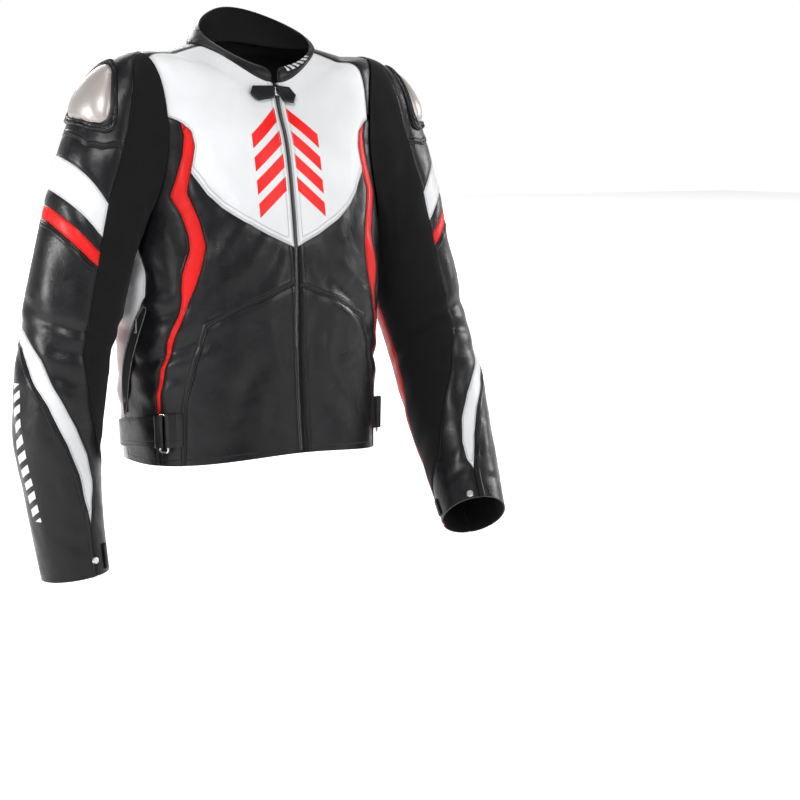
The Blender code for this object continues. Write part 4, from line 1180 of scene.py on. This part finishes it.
def studio():
    world = bpy.data.worlds.new("studio")
    world.use_nodes = True
    tree = world.node_tree
    # The sky is brightest behind the jacket, as the camera sees it
    behind = math.radians(33.5)
    direction = tree.nodes.new("ShaderNodeTexCoord").outputs["Generated"]
    facing = tree.nodes.new("ShaderNodeVectorMath")
    facing.operation = "DOT_PRODUCT"
    facing.inputs[1].default_value = (math.sin(behind), math.cos(behind), 0)
    tree.links.new(direction, facing.inputs[0])
    bright = tree.nodes.new("ShaderNodeMapRange")
    for key, value in (("From Min", 0.45), ("From Max", 0.88), ("To Min", 0.28), ("To Max", 1.0)):
        bright.inputs[key].default_value = value
    tree.links.new(facing.outputs["Value"], bright.inputs["Value"])
    tree.links.new(bright.outputs["Result"], tree.nodes["Background"].inputs["Strength"])
    tree.nodes["Background"].inputs["Color"].default_value = (1.0, 1.0, 1.0, 1)
    bpy.context.scene.world = world
    bpy.context.scene.view_settings.view_transform = "Standard"
    floor = bpy.data.meshes.new("floor")
    reach, low = 14.0, cadBox[0][2] - 0.03
    corners = [(x * reach, y * reach, low) for x, y in ((-1, -1), (1, -1), (1, 1), (-1, 1))]
    floor.from_pydata(corners, [], [(0, 1, 2, 3)])
    ground = bpy.data.objects.new("floor", floor)
    bpy.context.scene.collection.objects.link(ground)
    pale = Look("floor_pale", roughness=0.9, specular_ior_level=0.1, emission_strength=0.45)
    place = pale.node("ShaderNodeTexCoord").outputs["Object"]
    floor.materials.append(pale.put(
        base_color=pale.mix(pale.noise(place, 2.0), (0.86, 0.86, 0.86), (0.90, 0.90, 0.90)),
        emission_color=pale.mix(pale.noise(place, 2.0), (0.98, 0.98, 0.98), (1.0, 1.0, 1.0))))
    area("key", (-1.9, -2.0, 1.5), (0, 0, -0.25), 62, 0.9)
    area("fill", (1.3, -2.4, 0.6), (0, 0, -0.3), 26, 1.2)
    area("strip_right", (-2.2, 0.3, 0.1), (-0.1, 0, -0.35), 34, 0.6)
    area("strip_left", (2.2, -0.2, 0.3), (0.1, 0, -0.35), 15, 0.6)
    area("back", (0.3, 2.4, 1.2), (0, 0, -0.2), 34, 1.2)
    area("far", (2.6, 6.5, 4.0), (4.6, 8.4, low), 900, 5.0)
    area("top", (0, -0.2, 2.2), (0, 0, -0.2), 14, 1.2)


def photographed():
    data = bpy.data.cameras.new("camera")
    data.lens, data.sensor_width = 85.05, 36.0
    camera = bpy.data.objects.new("camera", data)
    camera.location = (-1.2605, -2.2740, -0.12)
    camera.rotation_euler = (math.radians(82.089), 0.0, math.radians(-33.4956))
    bpy.context.scene.collection.objects.link(camera)
    bpy.context.scene.camera = camera


bodyAngles = np.arange(-180, 180 + fine["body_degrees"] / 2, fine["body_degrees"])
bodyRows = np.linspace(0, lastRing, fine["body_rows"])
bodyCloth = Cloth(body, bodyAngles, bodyRows, 1, bodyDepth, degreeRun["body"])
print("cloth sampled")
bodyPieces(bodyCloth)
print("body sewn")
sleeveAngles = np.arange(-110, 251, fine["sleeve_degrees"])
sleeveRows = np.linspace(0.001, cuffRow, fine["sleeve_rows"])
for side, sign in signs.items():
    sleeve = Cloth(sleeveOf(side), sleeveAngles, sleeveRows, sign, sleeveDepth, degreeRun["sleeve"])
    sleevePieces(side, sleeve)
    beltPieces(side)
    pocketPieces(side)
    cuffPieces(side)
print("sleeves sewn")
collarPiece()
closurePieces()
stitch, tooth = stitchUnit(), toothUnit()
for key, look in (("black", "thread"), ("pale", "pale_thread"), ("red", "red_thread")):
    repeated(f"stitches_{key}", stitchRows[key], stitch, sew["step"], looks[look])
repeated("zip_teeth", teethLines, tooth, toothSizes["step"], looks["teeth"])
for old in (stitch, tooth):
    bpy.data.objects.remove(old)
print("stitched")
for side in signs:
    for name in (f"belt_ring_{side}", f"cuff_snap_{side}", f"pocket_pull_{side}"):
        frame["nodes"][name].material_slots[0].material = looks["metal"]
frame["nodes"]["zip_slider"].material_slots[0].material = looks["metal"]
studio()
photographed()
